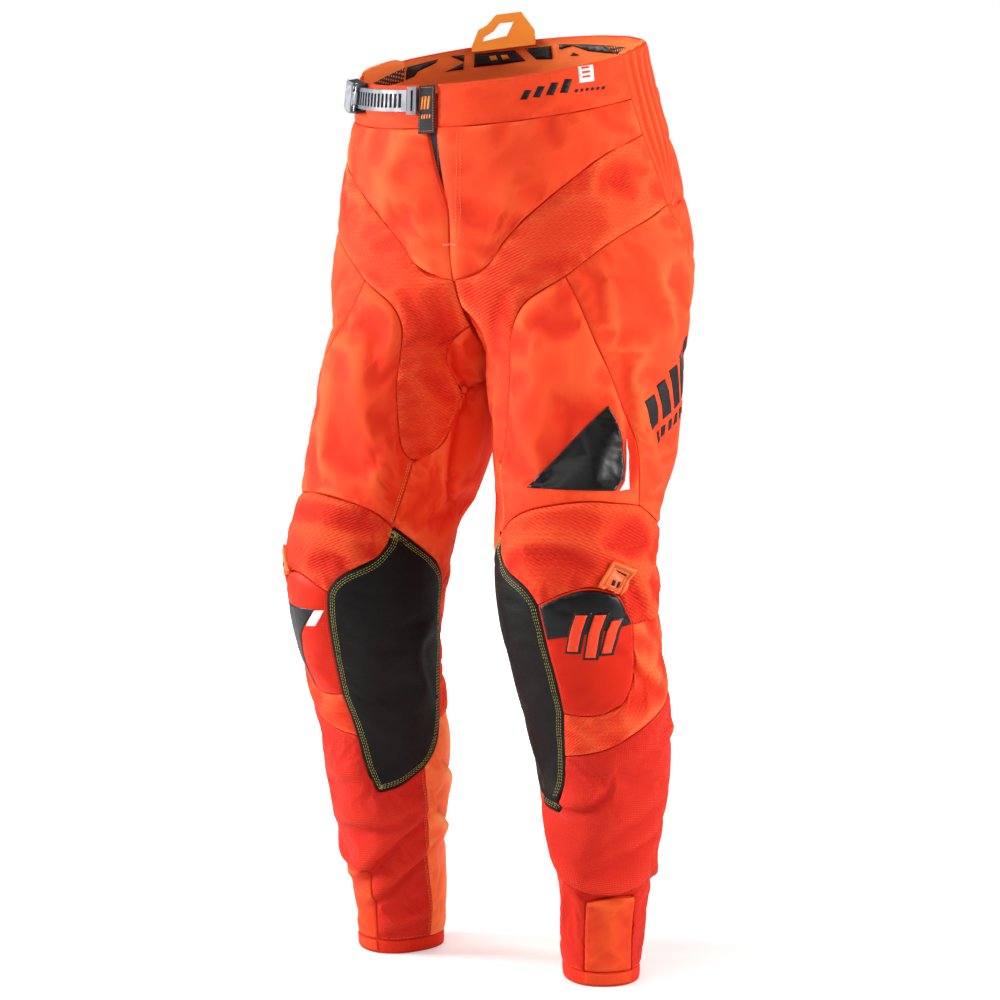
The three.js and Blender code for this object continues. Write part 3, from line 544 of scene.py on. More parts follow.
# Folds of each leg, as [angle, height] points, width, lift and lean. Angles and heights are
# those of chart(); a fold leans towards the right hand of its own direction.
BACK_OF_KNEE = [
    ([(128, 395), (160, 404), (195, 400), (228, 388)], 11, 4.0, 0.5),
    ([(110, 352), (145, 366), (185, 362), (220, 345)], 12, 4.5, 0.6),
    ([(125, 318), (165, 330), (205, 322)], 11, 3.5, 0.5),
    ([(100, 270), (135, 262), (170, 285)], 10, 3.0, 0.4),
    ([(240, 300), (205, 262), (175, 250)], 10, 2.6, 0.4),
]
SEAT = [
    ([(150, 660), (172, 700), (190, 760)], 22, 3.0, 0.2),
    ([(110, 690), (130, 745), (150, 800)], 20, 2.2, 0.2),
    ([(165, 620), (200, 640), (235, 650)], 12, 3.0, 0.5),
    ([(150, 585), (190, 600), (230, 590)], 14, 3.0, 0.4),
    ([(120, 480), (125, 560), (118, 640)], 18, 2.0, 0.2),
    ([(165, 450), (172, 530), (168, 600)], 20, 2.4, 0.2),
]
FOLDS = {
    "left": [
        ([(-58, 190), (-43, 160), (-32, 134), (-14, 117), (12, 107), (41, 106), (78, 114)], 11, 7.0, 0.9),
        ([(-44, 212), (-30, 199), (-8, 194), (14, 202), (32, 218)], 9, 4.0, 0.8),
        ([(-36, 104), (-38, 84), (-46, 52)], 7, 2.2, 0.3),
        ([(-6, 152), (25, 168), (56, 185), (90, 208)], 14, 2.6, 0.3),
        ([(0, 130), (33, 145), (60, 154), (88, 168)], 10, 2.2, 0.4),
        ([(30, 235), (58, 246), (86, 262)], 12, 1.8, 0.2),
        ([(92, 128), (112, 112), (140, 104)], 9, 3.0, 0.6),
        ([(-28, 445), (-8, 461), (11, 463), (28, 456), (44, 440)], 15, 3.2, 0.4),
        ([(40, 452), (50, 438), (62, 416), (76, 392), (92, 368)], 9, 4.2, 0.7),
        ([(66, 440), (82, 420), (98, 402)], 10, 2.6, 0.4),
        ([(60, 350), (76, 330), (92, 316)], 9, 2.4, 0.4),
        ([(-8, 668), (-10, 611), (-11, 570), (-8, 516)], 17, 3.0, 0.15),
        ([(29, 672), (25, 625), (21, 580)], 15, 2.4, 0.15),
        ([(57, 672), (55, 611), (58, 557), (62, 500)], 9, 3.0, 0.5),
        ([(90, 690), (88, 620), (92, 540)], 18, 2.0, 0.15),
        ([(36, 880), (10, 836), (-12, 796), (-29, 748)], 17, 3.0, 0.3),
        ([(6, 876), (-9, 839), (-22, 806)], 12, 1.8, 0.2),
        ([(48, 820), (47, 770), (46, 730)], 18, 1.6, 0.1),
        ([(47, 715), (46, 678), (45, 640)], 13, 2.0, 0.3),
        ([(-52, 700), (-44, 680), (-42, 640)], 9, 2.6, 0.5),
        ([(-66, 640), (-58, 610), (-56, 570)], 9, 2.4, 0.5),
        ([(-96, 620), (-84, 560), (-82, 500)], 12, 3.4, 0.4),
    ] + BACK_OF_KNEE + SEAT,
    "right": [
        ([(62, 84), (40, 86), (12, 92), (-13, 111), (-51, 142), (-88, 166)], 11, 4.6, -0.8),
        ([(20, 58), (-3, 66), (-30, 82), (-56, 100), (-94, 122)], 9, 3.6, -0.7),
        ([(9, 22), (-30, 34), (-67, 42), (-92, 47)], 8, 2.2, -0.4),
        ([(56, 146), (26, 150), (-7, 151), (-39, 158), (-76, 176)], 12, 3.4, -0.5),
        ([(50, 208), (20, 200), (-12, 204)], 12, 2.2, -0.3),
        ([(82, 120), (62, 104), (44, 98)], 9, 3.4, -0.6),
        ([(-88, 155), (-102, 141), (-124, 122)], 8, 4.0, 0.6),
        ([(-96, 200), (-116, 190), (-138, 168)], 9, 2.6, 0.4),
        ([(40, 668), (28, 610), (27, 552), (24, 508)], 15, 2.6, 0.15),
        ([(10, 668), (4, 624), (-1, 582), (-13, 536), (-25, 495)], 13, 3.2, 0.3),
        ([(-14, 530), (-22, 500), (-32, 474)], 9, 3.0, 0.5),
        ([(-58, 612), (-56, 567), (-59, 524), (-68, 474)], 12, 3.6, 0.4),
        ([(-84, 600), (-88, 540), (-96, 480)], 13, 3.4, 0.3),
        ([(-19, 872), (-11, 845), (-7, 815), (-14, 772)], 13, 2.4, 0.3),
        ([(18, 872), (2, 823), (-19, 784), (-32, 750)], 16, 2.6, 0.3),
        ([(44, 872), (42, 830), (34, 790)], 12, 1.8, 0.2),
        ([(-46, 650), (-52, 621), (-62, 598), (-56, 572)], 8, 2.6, 0.5),
        ([(48, 452), (34, 462), (10, 460), (-20, 448)], 15, 3.0, 0.4),
        ([(78, 452), (62, 430), (52, 408)], 9, 3.2, 0.6),
        ([(96, 400), (80, 372), (74, 340)], 10, 2.6, 0.4),
        ([(-30, 402), (-28, 346), (-27, 284)], 14, 1.8, 0.2),
        ([(-85, 366), (-68, 343), (-72, 306), (-88, 270)], 12, 2.6, 0.3),
    ] + BACK_OF_KNEE + SEAT,
}


def crumple(points, size, seed):
    """Soft random unevenness between -1 and 1."""
    shift = Vector((seed * 7.3, seed * 3.1, seed * 5.7))
    return np.array([noise.noise(Vector(point) / size + shift) for point in points])


# ---------------------------------------------------------------- panels of cloth

class Panel:
    """How one kind of panel is sewn: material, softness and how far it stands proud."""

    def __init__(self, finish, crown=0.0, growth=0.0, pucker=0.25, wave=0.5, thickness=CLOTH, cell=CELL,
                 folded=True, allowance=True):
        self.finish = finish
        self.folded = folded
        self.allowance = allowance
        self.cell = cell
        self.crown = crown * MM
        self.growth = growth
        self.pucker = pucker * MM
        self.wave = wave * MM
        self.thickness = thickness


PANELS = {
    "front_panel": Panel("shell", 1.5, 0.012),
    "seat_panel": Panel("shell", 1.5, 0.012),
    "crotch_gusset": Panel("shell", 0.5, 0.02),
    "thigh_front": Panel("thigh", 2.0, 0.014),
    "thigh_side": Panel("shell", 1.5, 0.014),
    "thigh_back": Panel("shell", 2.0, 0.018),
    "hip_stretch_band": Panel("rib", 1.2, 0.008),
    "knee_stretch_panel": Panel("knee", 2.5, 0.03, wave=0.8),
    "shin_stretch_band": Panel("rib", 1.5, 0.012),
    "knee_back_stretch": Panel("rib", 1.0, 0.03),
    "knee_cup": Panel("cup", 2.0, 0.004, pucker=0.08, wave=0.2),
    "inner_knee_leather": Panel("leather", 1.5, 0.008, pucker=0.1, wave=0.7),
    "shin_mesh_panel": Panel("vent", 1.5, 0.014, wave=0.8),
    "calf_panel": Panel("calf", 1.5, 0.014, wave=0.8),
    "cuff_insert": Panel("insert", 0.8, 0.01),
    "hem": Panel("hem", 0.0, 0.0, pucker=0.2, wave=0.3, allowance=False),
    "thigh_liner": Panel("liner", 0.0, 0.0, pucker=0.0, wave=0.6, thickness=1.0 * MM),
    "side_pleat_panel": Panel("shell", 0.5, 0.0, cell=CELL / 2),
}
BANDS = {
    "waistband_front_left": Panel("shell", 0.6, 0.004, thickness=WAISTBAND, allowance=False),
    "waistband_front_right": Panel("shell", 0.6, 0.004, thickness=WAISTBAND, allowance=False),
    "waistband_back": Panel("shell", 0.6, 0.004, thickness=WAISTBAND, allowance=False),
    "rear_stretch_yoke": Panel("rib", 1.0, 0.01),
}
TAPE = 1.1 * MM
TAPES = {
    node: Panel("tape", 0.0, 0.0, pucker=0.0, wave=0.15, thickness=TAPE, folded=False, allowance=False)
    for node in ("fly_guard", "zip_tape_left", "zip_tape_right", "strap_webbing", "patch_tab")
}

SHOULDER = 0.9 * MM          # how far the cloth dips at a seam
SHOULDER_REACH = 4 * MM
PUCKER_PITCH = 7.5 * MM
# The turned edge of a panel, as shares of half a seam outwards and of its thickness inwards.
LIP = ((0.55, 0.12), (0.95, 0.45), (0.95, 0.85))
ALLOWANCE = ((3.4, 0.98), (3.4, 1.35), (0.2, 1.4))      # cloth turned under beyond the seam
HALF_SEAM = 0.85 * MM
FLOOR_EDGE = 1 * MM          # the hem's lower edge rolls under without growing down


def shape_sheet(sheet, panel):
    """Gives a panel its crown, folds and unevenness, and the pleated side panel its pleats."""
    normals = sheet.normals()
    inside = 1 - np.exp(-sheet.distance / (14 * MM))
    lift = panel.crown * inside
    if sheet.side and panel.folded:
        angle, height, _ = chart(sheet.points, sheet.side)
        for fold in FOLDS["left" if sheet.side > 0 else "right"]:
            for turn in (0, 360, -360):
                lift = lift + fold_lift(angle + turn, height, fold)
    if sheet.name.startswith("side_pleat_panel"):
        lift = lift + pleats(sheet, angle, height)
    lift = lift + panel.wave * crumple(sheet.points, 0.045, sheet.side + 2)
    sheet.points = sheet.points + normals * lift[:, None]


PLEATS = 5
PLEAT_LIFT = 4.2 * MM


def pleats(sheet, angle, height):
    """Upright gathers across the elastic side panel, deepest at the waist."""
    loop = sheet.loops[0]
    levels = np.linspace(height.min(), height.max(), 40)
    spans = []
    for level in levels:
        close = loop[np.abs(height[loop] - level) < 6 * MM]
        spans.append((angle[close].min(), angle[close].max()))
    low_side = np.interp(height, levels, [span[0] for span in spans])
    high_side = np.interp(height, levels, [span[1] for span in spans])
    share = (angle - low_side) / np.maximum(high_side - low_side, 4)
    wander = 0.35 * crumple(sheet.points, 0.05, sheet.side + 12)
    ridge = 1 - np.abs(np.sin(math.pi * (PLEATS * share + wander))) ** 0.8
    rows = 0.25 * np.sin(height / (6 * MM) * 2 * math.pi + 3 * wander)
    reach = smooth(height, height.min(), height.min() + 70 * MM)
    edge = 1 - np.exp(-sheet.distance / (5 * MM))
    return -PLEAT_LIFT * reach * edge * ridge + 0.4 * MM * rows * edge * reach


def sew_edges(sheet, panel):
    """Dips the cloth at its seams and gathers it a little along the stitches."""
    normals = sheet.normals()
    near = np.exp(-sheet.distance / SHOULDER_REACH)
    phase = 2 * math.pi * sheet.along / PUCKER_PITCH
    uneven = 0.6 + 0.6 * crumple(sheet.points, 0.02, 5)
    pucker = np.sin(phase + 2.5 * crumple(sheet.points, 0.03, 9)) * uneven
    band = np.exp(-((sheet.distance - 4 * MM) / (4 * MM)) ** 2)
    lift = panel.pucker * pucker * band - SHOULDER * near
    sheet.points = sheet.points + normals * lift[:, None]


SETTLE_FRAMES = 20
SETTLE_CAP = 7 * MM          # the furthest that any point settles
SOFTNESS = {
    "quality": 4,
    "mass": 0.15,
    "tension_stiffness": 12,
    "compression_stiffness": 12,
    "shear_stiffness": 6,
    "bending_stiffness": 1.2,
    "air_damping": 2,
    "vertex_group_mass": "pins",
    "use_pressure": True,
    "uniform_pressure_force": 0.6,
}


def simulate(jobs):
    """Lets the panels settle as cloth that is a little larger than its frame of seams."""
    scene = bpy.context.scene
    started = []
    for sheet, panel in jobs:
        mesh = bpy.data.meshes.new("settling")
        mesh.from_pydata(sheet.points.tolist(), [], plain_faces(sheet.quads))
        piece = bpy.data.objects.new("settling", mesh)
        scene.collection.objects.link(piece)
        pins = piece.vertex_groups.new(name="pins")
        for index, reach in enumerate(np.exp(-sheet.distance / (2.5 * MM))):
            if reach > 0.05:
                pins.add([index], 1.0 if reach > 0.97 else float(reach) * 0.6, "REPLACE")
        cloth = piece.modifiers.new("cloth", "CLOTH")
        for key, value in SOFTNESS.items():
            setattr(cloth.settings, key, value)
        cloth.settings.shrink_min = -panel.growth
        cloth.settings.effector_weights.gravity = 0
        cloth.collision_settings.use_collision = False
        started.append((sheet, panel, piece))
    for step in range(1, SETTLE_FRAMES + 1):
        scene.frame_set(step)
    graph = bpy.context.evaluated_depsgraph_get()
    for sheet, panel, piece in started:
        settled = piece.evaluated_get(graph).to_mesh()
        points = np.zeros(len(settled.vertices) * 3)
        settled.vertices.foreach_get("co", points)
        move = points.reshape(-1, 3) - sheet.points
        size = np.linalg.norm(move, axis=1, keepdims=True)
        sheet.points = sheet.points + move * np.minimum(1, SETTLE_CAP / np.maximum(size, 1e-9))
        bpy.data.objects.remove(piece)
    scene.frame_set(1)


def closed_cloth(sheet, panel):
    """The panel as one closed body: its face, its turned edge and its back."""
    normals = sheet.normals()
    outward = sheet.outward()
    outward[:, 2] = np.where(sheet.points[:, 2] < FLOOR_EDGE, 0, outward[:, 2])
    back = sheet.points - normals * panel.thickness
    points = [sheet.points, back]
    count = len(sheet.points)
    quads = [sheet.quads, sheet.quads[:, ::-1] + count]
    total = 2 * count
    for loop in sheet.loops:
        rings = [loop]
        for out, depth in LIP + (ALLOWANCE if panel.allowance else ((0.4, 1.0),)):
            ring = sheet.points[loop] + outward[loop] * (out * HALF_SEAM)
            points.append(ring - normals[loop] * (depth * panel.thickness))
            rings.append(np.arange(total, total + len(loop)))
            total += len(loop)
        rings.append(loop + count)
        for upper, lower in zip(rings, rings[1:]):
            following = np.roll(upper, -1)
            quads.append(np.stack([following, upper, lower, np.roll(lower, -1)], axis=1))
    return np.vstack(points), np.vstack(quads)


# The hollows and ridges of the cloth, which set where its colour takes painted shade and painted highlight.
HOLLOW_PASSES = 40
HOLLOW_DEPTH = 2.2 * MM
STRAIGHT = 0.5               # the value of cloth that runs straight
UNDERSIDE_SHADE = 0.7              # the value of turned edges and linings, which gives them part of the painted shade of a hollow


def hollows(sheet):
    """0.5 where a sheet runs straight, up to 1 deep in a hollow and down to 0 on a ridge."""
    pairs, count = neighbour_pairs(sheet.points, sheet.quads)
    spread = sheet.points.copy()
    for _ in range(HOLLOW_PASSES):
        spread = 0.5 * (spread + neighbour_means(spread, pairs, count))
    depth = ((spread - sheet.points) * sheet.normals()).sum(axis=1)
    depth = depth - np.median(depth)
    return np.clip(0.5 + 0.5 * depth / HOLLOW_DEPTH, 0, 1)


# ---------------------------------------------------------------- making pieces

def new_piece(name, points, faces, finish, slot, even=True):
    """A shown piece with smooth faces, a material and the record's slot it follows."""
    mesh = bpy.data.meshes.new(name)
    mesh.from_pydata(np.asarray(points).tolist(), [], plain_faces(np.asarray(faces)) if even else faces)
    mesh.polygons.foreach_set("use_smooth", np.ones(len(mesh.polygons), bool))
    mesh.materials.append(finish)
    straight = np.full(len(mesh.vertices), STRAIGHT, np.float32)
    mesh.attributes.new("Hollow", "FLOAT", "POINT").data.foreach_set("value", straight)
    piece = bpy.data.objects.new(name, mesh)
    bpy.context.scene.collection.objects.link(piece)
    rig.slot(piece, slot)
    return piece


WAIST_RADIUS = 150 * MM      # of an average waist


def add_cloth_map(piece, side):
    """Writes the cloth's own coordinates, in millimetres round and along the leg, as a UV map."""
    mesh = piece.data
    points = np.zeros(len(mesh.vertices) * 3)
    mesh.vertices.foreach_get("co", points)
    points = points.reshape(-1, 3)
    if side:
        angle, height, _ = chart(points, side)
        turn = math.degrees(math.atan2(np.sin(np.radians(angle)).mean(), np.cos(np.radians(angle)).mean()))
        angle = (angle - turn + 180) % 360 - 180 + turn
        across = angle * DEGREE
    else:
        across = np.arctan2(points[:, 0], -points[:, 1])
        if abs(points[:, 0].mean()) < 0.02 and points[:, 1].mean() > 0:
            across = across % (2 * math.pi)
        across = across * WAIST_RADIUS
        height = points[:, 2]
    corners = np.zeros(len(mesh.loops), int)
    mesh.loops.foreach_get("vertex_index", corners)
    cloth_map = mesh.uv_layers.new(name="Cloth")
    values = np.stack([across[corners] / MM, height[corners] / MM], axis=1)
    cloth_map.data.foreach_set("uv", values.astype(np.float32).ravel())


def add_hollows(piece, sheet):
    """Stores the hollows on the piece. Its first points are the face of the sheet."""
    # Turned edges and linings are given part of the painted shade of the fold hollows.
    values = np.full(len(piece.data.vertices), UNDERSIDE_SHADE, np.float32)
    values[:len(sheet.points)] = hollows(sheet)
    piece.data.attributes["Hollow"].data.foreach_set("value", values)


WAIST_TO_THIGH = ("hip_stretch_band", "crotch_gusset", "thigh_front", "thigh_side", "thigh_back",
                  "thigh_liner")
BELOW_KNEE = ("knee_stretch_panel", "shin_stretch_band", "knee_back_stretch", "knee_cup", "knee_badge",
              "inner_knee_leather", "shin_mesh_panel", "calf_panel", "cuff_insert", "hem")


def attach(piece, node):
    """Makes a piece move as the cloth of that CAD node does."""
    for side in SIDES:
        if not node.endswith("_" + side):
            continue
        kind = node[:-len(side) - 1]
        if kind in WAIST_TO_THIGH:
            start, end = ((0, 0, z) for z in HIP_BEND)
            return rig.blend(piece, "waist", side + "_thigh", start, end)
        if kind in BELOW_KNEE:
            start, end = ((0, 0, z) for z in KNEE_BEND)
            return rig.blend(piece, side + "_thigh", side + "_shin", start, end)
    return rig.ride(piece, frame["nodes"][node]["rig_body"])


# ---------------------------------------------------------------- materials

def linear(red, green, blue):
    """An 8-bit sRGB colour as the linear values that a shader takes."""
    values = []
    for channel in (red, green, blue):
        share = channel / 255
        values.append(share / 12.92 if share <= 0.04045 else ((share + 0.055) / 1.055) ** 2.4)
    return (*values, 1.0)


def tinted(colour, factor):
    return tuple(min(1.0, channel * share) for channel, share in zip(colour, factor)) + (1.0,)


class Graph:
    """A material's node tree, with short ways to add and join its nodes."""

    def __init__(self, name):
        self.material = bpy.data.materials.new(name)
        self.material.use_nodes = True
        self.tree = self.material.node_tree
        self.shader = self.tree.nodes["Principled BSDF"]

    def feed(self, socket, value):
        if isinstance(value, bpy.types.NodeSocket):
            self.tree.links.new(value, socket)
        else:
            socket.default_value = value

    def node(self, kind, inputs, **settings):
        made = self.tree.nodes.new(kind)
        for key, value in settings.items():
            setattr(made, key, value)
        for key, value in inputs.items():
            self.feed(made.inputs[key], value)
        return made

    def math(self, operation, first, second=0.0, clamp=False):
        made = self.node("ShaderNodeMath", {0: first, 1: second}, operation=operation, use_clamp=clamp)
        return made.outputs[0]

    def cloth_place(self, turn=0.0, across=1.0, along=1.0):
        """The cloth's own millimetres, turned and scaled."""
        place = self.node("ShaderNodeUVMap", {}, uv_map="Cloth").outputs[0]
        mapping = {"Vector": place, "Rotation": (0, 0, math.radians(turn)), "Scale": (across, along, 1)}
        return self.node("ShaderNodeMapping", mapping).outputs[0]

    def spot_place(self, scale):
        """Metres of the row frame, scaled."""
        place = self.node("ShaderNodeTexCoord", {}).outputs["Object"]
        return self.node("ShaderNodeMapping", {"Vector": place, "Scale": (scale,) * 3}).outputs[0]

    def specks(self, scale, detail, rough=0.5):
        """Noise between 0 and 1, with about that many spots to the metre."""
        inputs = {"Vector": self.spot_place(scale), "Scale": 1.0, "Detail": detail, "Roughness": rough}
        return self.node("ShaderNodeTexNoise", inputs).outputs["Fac"]

    def mix(self, share, first, second):
        made = self.node("ShaderNodeMix", {}, data_type="RGBA")
        self.feed(made.inputs[0], share)
        self.feed(made.inputs[6], first)
        self.feed(made.inputs[7], second)
        return made.outputs[2]

    def range(self, value, low, high, to_low=0.0, to_high=1.0):
        inputs = {0: value, 1: low, 2: high, 3: to_low, 4: to_high}
        return self.node("ShaderNodeMapRange", inputs).outputs[0]

    def bump(self, height, distance, before=None, strength=1.0):
        inputs = {"Height": height, "Distance": distance, "Strength": strength}
        if before is not None:
            inputs["Normal"] = before
        return self.node("ShaderNodeBump", inputs).outputs[0]

    def finish(self, **inputs):
        for key, value in inputs.items():
            self.feed(self.shader.inputs[key.replace("_", " ")], value)
        return self.material


def wave_height(graph, place, axis, pitch):
    """A smooth ridge every pitch millimetres across one axis of the cloth."""
    parts = graph.node("ShaderNodeSeparateXYZ", {0: place})
    angle = graph.math("MULTIPLY", parts.outputs[axis], 2 * math.pi / pitch)
    return graph.math("MULTIPLY_ADD", graph.math("SINE", angle), 0.5)


# How far painted shade deepens the dye in the hollows of folds, and painted highlight pales it on their ridges.
FOLD_SHADE_TINT = (0.94, 0.74, 0.65)
FOLD_HIGHLIGHT_TINT = (1.0, 1.45, 1.5)


def cloth_colour(graph, colour, deep, amount=0.35):
    """The dye with soft uneven patches, darkened by painted shade in the hollows of folds and paled by a painted
    highlight on their ridges.
    """
    patches = graph.range(graph.specks(14, 4), 0.35, 0.65)
    fibres = graph.range(graph.specks(900, 2), 0.3, 0.7)
    shade = graph.math("MULTIPLY_ADD", patches, amount * 0.6)
    shade = graph.math("ADD", shade, graph.math("MULTIPLY", fibres, amount * 0.4), clamp=True)
    tone = graph.mix(shade, colour, deep)
    hollow = graph.node("ShaderNodeAttribute", {}, attribute_name="Hollow").outputs["Fac"]
    # Painted shade in the hollows of folds.
    tone = graph.mix(graph.range(hollow, 0.5, 0.95), tone, tinted(deep, FOLD_SHADE_TINT))
    # Painted highlight on the ridges of folds.
    return graph.mix(graph.range(hollow, 0.5, 0.05), tone, tinted(colour, FOLD_HIGHLIGHT_TINT))


def plain_weave(name, colour, deep, roughness=0.8, sheen=0.15, pitch=0.9):
    """Tight woven cloth: two sets of threads over and under each other."""
    graph = Graph(name)
    place = graph.cloth_place(45)
    warp = wave_height(graph, place, 0, pitch)
    weft = wave_height(graph, place, 1, pitch)
    weave = graph.math("MULTIPLY", warp, weft)
    slubs = graph.specks(320, 3)
    soft = graph.bump(slubs, 0.25 * MM, strength=0.5)
    normal = graph.bump(weave, 0.10 * MM, soft)
    # A small painted highlight: the raised crossings of the threads lean back towards the plain, paler dye.
    tone = graph.mix(graph.math("MULTIPLY", weave, 0.25), cloth_colour(graph, colour, deep), colour)
    return graph.finish(Base_Color=tone, Roughness=roughness, Normal=normal, Sheen_Weight=sheen,
                        Sheen_Roughness=0.45, Sheen_Tint=linear(255, 130, 80), Specular_IOR_Level=0.2)


def rib_knit(name, colour, deep, turn=0.0, width=9.0, height=2.5, depth=0.7):
    """Stretch cloth with rows of short raised ribs, each row half a rib along from the last."""
    graph = Graph(name)
    place = graph.cloth_place(turn)
    rows = wave_height(graph, place, 1, height)
    parts = graph.node("ShaderNodeSeparateXYZ", {0: place})
    row = graph.math("FLOOR", graph.math("DIVIDE", parts.outputs[1], height))
    shifted = graph.math("ADD", parts.outputs[0], graph.math("MULTIPLY", row, width / 2))
    run = graph.math("SINE", graph.math("MULTIPLY", shifted, 2 * math.pi / width))
    run = graph.math("MULTIPLY_ADD", run, 0.5)
    run = graph.math("ADD", run, 0.5, clamp=True)
    ribs = graph.math("MULTIPLY", graph.math("POWER", graph.math("ADD", rows, 0.5), 0.8), run)
    fibres = graph.specks(700, 2)
    normal = graph.bump(ribs, depth * MM, graph.bump(fibres, 0.12 * MM, strength=0.6))
    base = cloth_colour(graph, colour, deep, 0.3)
    # Painted shade: the grooves between the ribs take the deeper colour.
    tone = graph.mix(graph.range(ribs, 0.0, 0.7), deep, base)
    return graph.finish(Base_Color=tone, Roughness=0.78, Normal=normal, Sheen_Weight=0.15,
                        Sheen_Roughness=0.5, Sheen_Tint=linear(255, 130, 80), Specular_IOR_Level=0.18)


def vent_mesh(name, colour, deep, turn=0.0, pitch=1.9):
    """Open knit: rows of small holes between threads, darker in the holes, partly from the backing seen through them
    and partly from painted shade.
    """
    graph = Graph(name)
    place = graph.cloth_place(turn)
    up = wave_height(graph, place, 1, pitch)
    over = wave_height(graph, place, 0, pitch * 1.25)
    gaps = graph.math("MULTIPLY", graph.math("ADD", up, 0.5), graph.math("ADD", over, 0.5))
    holes = graph.range(gaps, 0.35, 0.8)
    threads = graph.math("SUBTRACT", 1.0, holes)
    shine = graph.range(graph.specks(1400, 2), 0.45, 0.62)
    fibres = graph.specks(500, 2)
    normal = graph.bump(threads, 0.35 * MM, graph.bump(fibres, 0.2 * MM))
    # The holes take the deeper colour: partly the backing, partly painted shade.
    tone = graph.mix(holes, cloth_colour(graph, colour, deep, 0.4), deep)
    rough = graph.range(shine, 0.0, 1.0, 0.75, 0.45)
    return graph.finish(Base_Color=tone, Roughness=rough, Normal=normal, Sheen_Weight=0.15,
                        Sheen_Roughness=0.4, Sheen_Tint=linear(255, 110, 50), Specular_IOR_Level=0.22)


def coated(name, colour, deep, roughness=0.48):
    """Smooth coated cloth with a satin skin and faint moulding marks."""
    graph = Graph(name)
    marks = graph.specks(60, 3)
    fine = graph.specks(1200, 2)
    normal = graph.bump(fine, 0.05 * MM, graph.bump(marks, 0.35 * MM, strength=0.6))
    rough = graph.range(marks, 0.3, 0.7, roughness - 0.06, roughness + 0.1)
    return graph.finish(Base_Color=cloth_colour(graph, colour, deep, 0.3), Roughness=rough, Normal=normal,
                        Specular_IOR_Level=0.12)


def leather(name, colour, worn):
    """Thin black leather: pebbled grain, fine pores and rubbed high spots."""
    graph = Graph(name)
    place = graph.spot_place(1)
    cells = graph.node("ShaderNodeTexVoronoi", {"Vector": place, "Scale": 720.0}, feature="SMOOTH_F1")
    cells.inputs["Smoothness"].default_value = 0.5
    grain = graph.range(cells.outputs["Distance"], 0.1, 0.7)
    creases = graph.specks(90, 5, 0.6)
    normal = graph.bump(grain, 0.12 * MM, graph.bump(creases, 0.5 * MM, strength=0.6))
    rubbed = graph.range(graph.specks(11, 4), 0.5, 0.72)
    tone = graph.mix(graph.math("MULTIPLY", rubbed, 0.7), colour, worn)
    rough = graph.range(grain, 0.0, 1.0, 0.72, 0.55)
    return graph.finish(Base_Color=tone, Roughness=rough, Normal=normal, Specular_IOR_Level=0.2)


def print_film(name, colour, roughness=0.22):
    """A thin transfer print with a glossy, slightly wavy skin."""
    graph = Graph(name)
    waves = graph.specks(70, 3)
    weave = graph.specks(1500, 1)
    normal = graph.bump(weave, 0.04 * MM, graph.bump(waves, 0.2 * MM, strength=0.7))
    scuffs = graph.range(graph.specks(240, 5, 0.7), 0.45, 0.75)
    rough = graph.range(scuffs, 0.0, 1.0, roughness, roughness + 0.18)
    tone = graph.mix(graph.math("MULTIPLY", scuffs, 0.25), colour, tinted(colour, (1.5, 1.5, 1.5)))
    return graph.finish(Base_Color=tone, Roughness=rough, Normal=normal, Specular_IOR_Level=0.28)


def moulded(name, colour, roughness=0.42, grain=0.06, metallic=0.0):
    """Moulded plastic or rubber, or cast metal, with a fine textured skin and rubbed edges."""
    graph = Graph(name)
    fine = graph.specks(2200, 2)
    broad = graph.specks(120, 4)
    normal = graph.bump(fine, grain * MM)
    edges = graph.node("ShaderNodeNewGeometry", {}).outputs["Pointiness"]
    worn = graph.range(edges, 0.52, 0.6)
    tone = graph.mix(graph.math("MULTIPLY", broad, 0.3), colour, tinted(colour, (0.7, 0.7, 0.7)))
    tone = graph.mix(graph.math("MULTIPLY", worn, 0.4), tone, tinted(colour, (1.6, 1.6, 1.6)))
    rough = graph.range(broad, 0.3, 0.7, roughness - 0.08, roughness + 0.1)
    return graph.finish(Base_Color=tone, Roughness=rough, Normal=normal, Metallic=metallic)


def webbing(name, colour, light, pitch=1.3):
    """Woven tape: a herringbone of thick threads."""
    graph = Graph(name)
    place = graph.cloth_place(0)
    rows = wave_height(graph, place, 1, pitch)
    slant = wave_height(graph, graph.cloth_place(38), 0, pitch * 1.4)
    threads = graph.math("MULTIPLY", graph.math("ADD", rows, 0.5), graph.math("ADD", slant, 0.5))
    normal = graph.bump(threads, 0.25 * MM)
    # Painted highlight on the raised threads and painted shade between them.
    tone = graph.mix(graph.range(threads, 0.1, 0.8), colour, light)
    return graph.finish(Base_Color=tone, Roughness=0.8, Normal=normal, Specular_IOR_Level=0.25)


def dotted(name, colour, spot, pitch=4.2):
    """Black mesh with rows of small coloured dots."""
    graph = Graph(name)
    place = graph.cloth_place(0, 1 / pitch, 1 / pitch)
    cells = graph.node("ShaderNodeTexVoronoi", {"Vector": place, "Scale": 1.0, "Randomness": 0.0})
    dots = graph.range(cells.outputs["Distance"], 0.28, 0.22)
    normal = graph.bump(dots, 0.4 * MM)
    return graph.finish(Base_Color=graph.mix(dots, colour, spot), Roughness=0.65, Normal=normal)


def thread(name, colour):
    """Twisted sewing thread."""
    graph = Graph(name)
    twist = graph.specks(2600, 1)
    tone = graph.mix(graph.range(twist, 0.35, 0.65), colour, tinted(colour, (0.7, 0.7, 0.7)))
    return graph.finish(Base_Color=tone, Roughness=0.6, Normal=graph.bump(twist, 0.1 * MM))


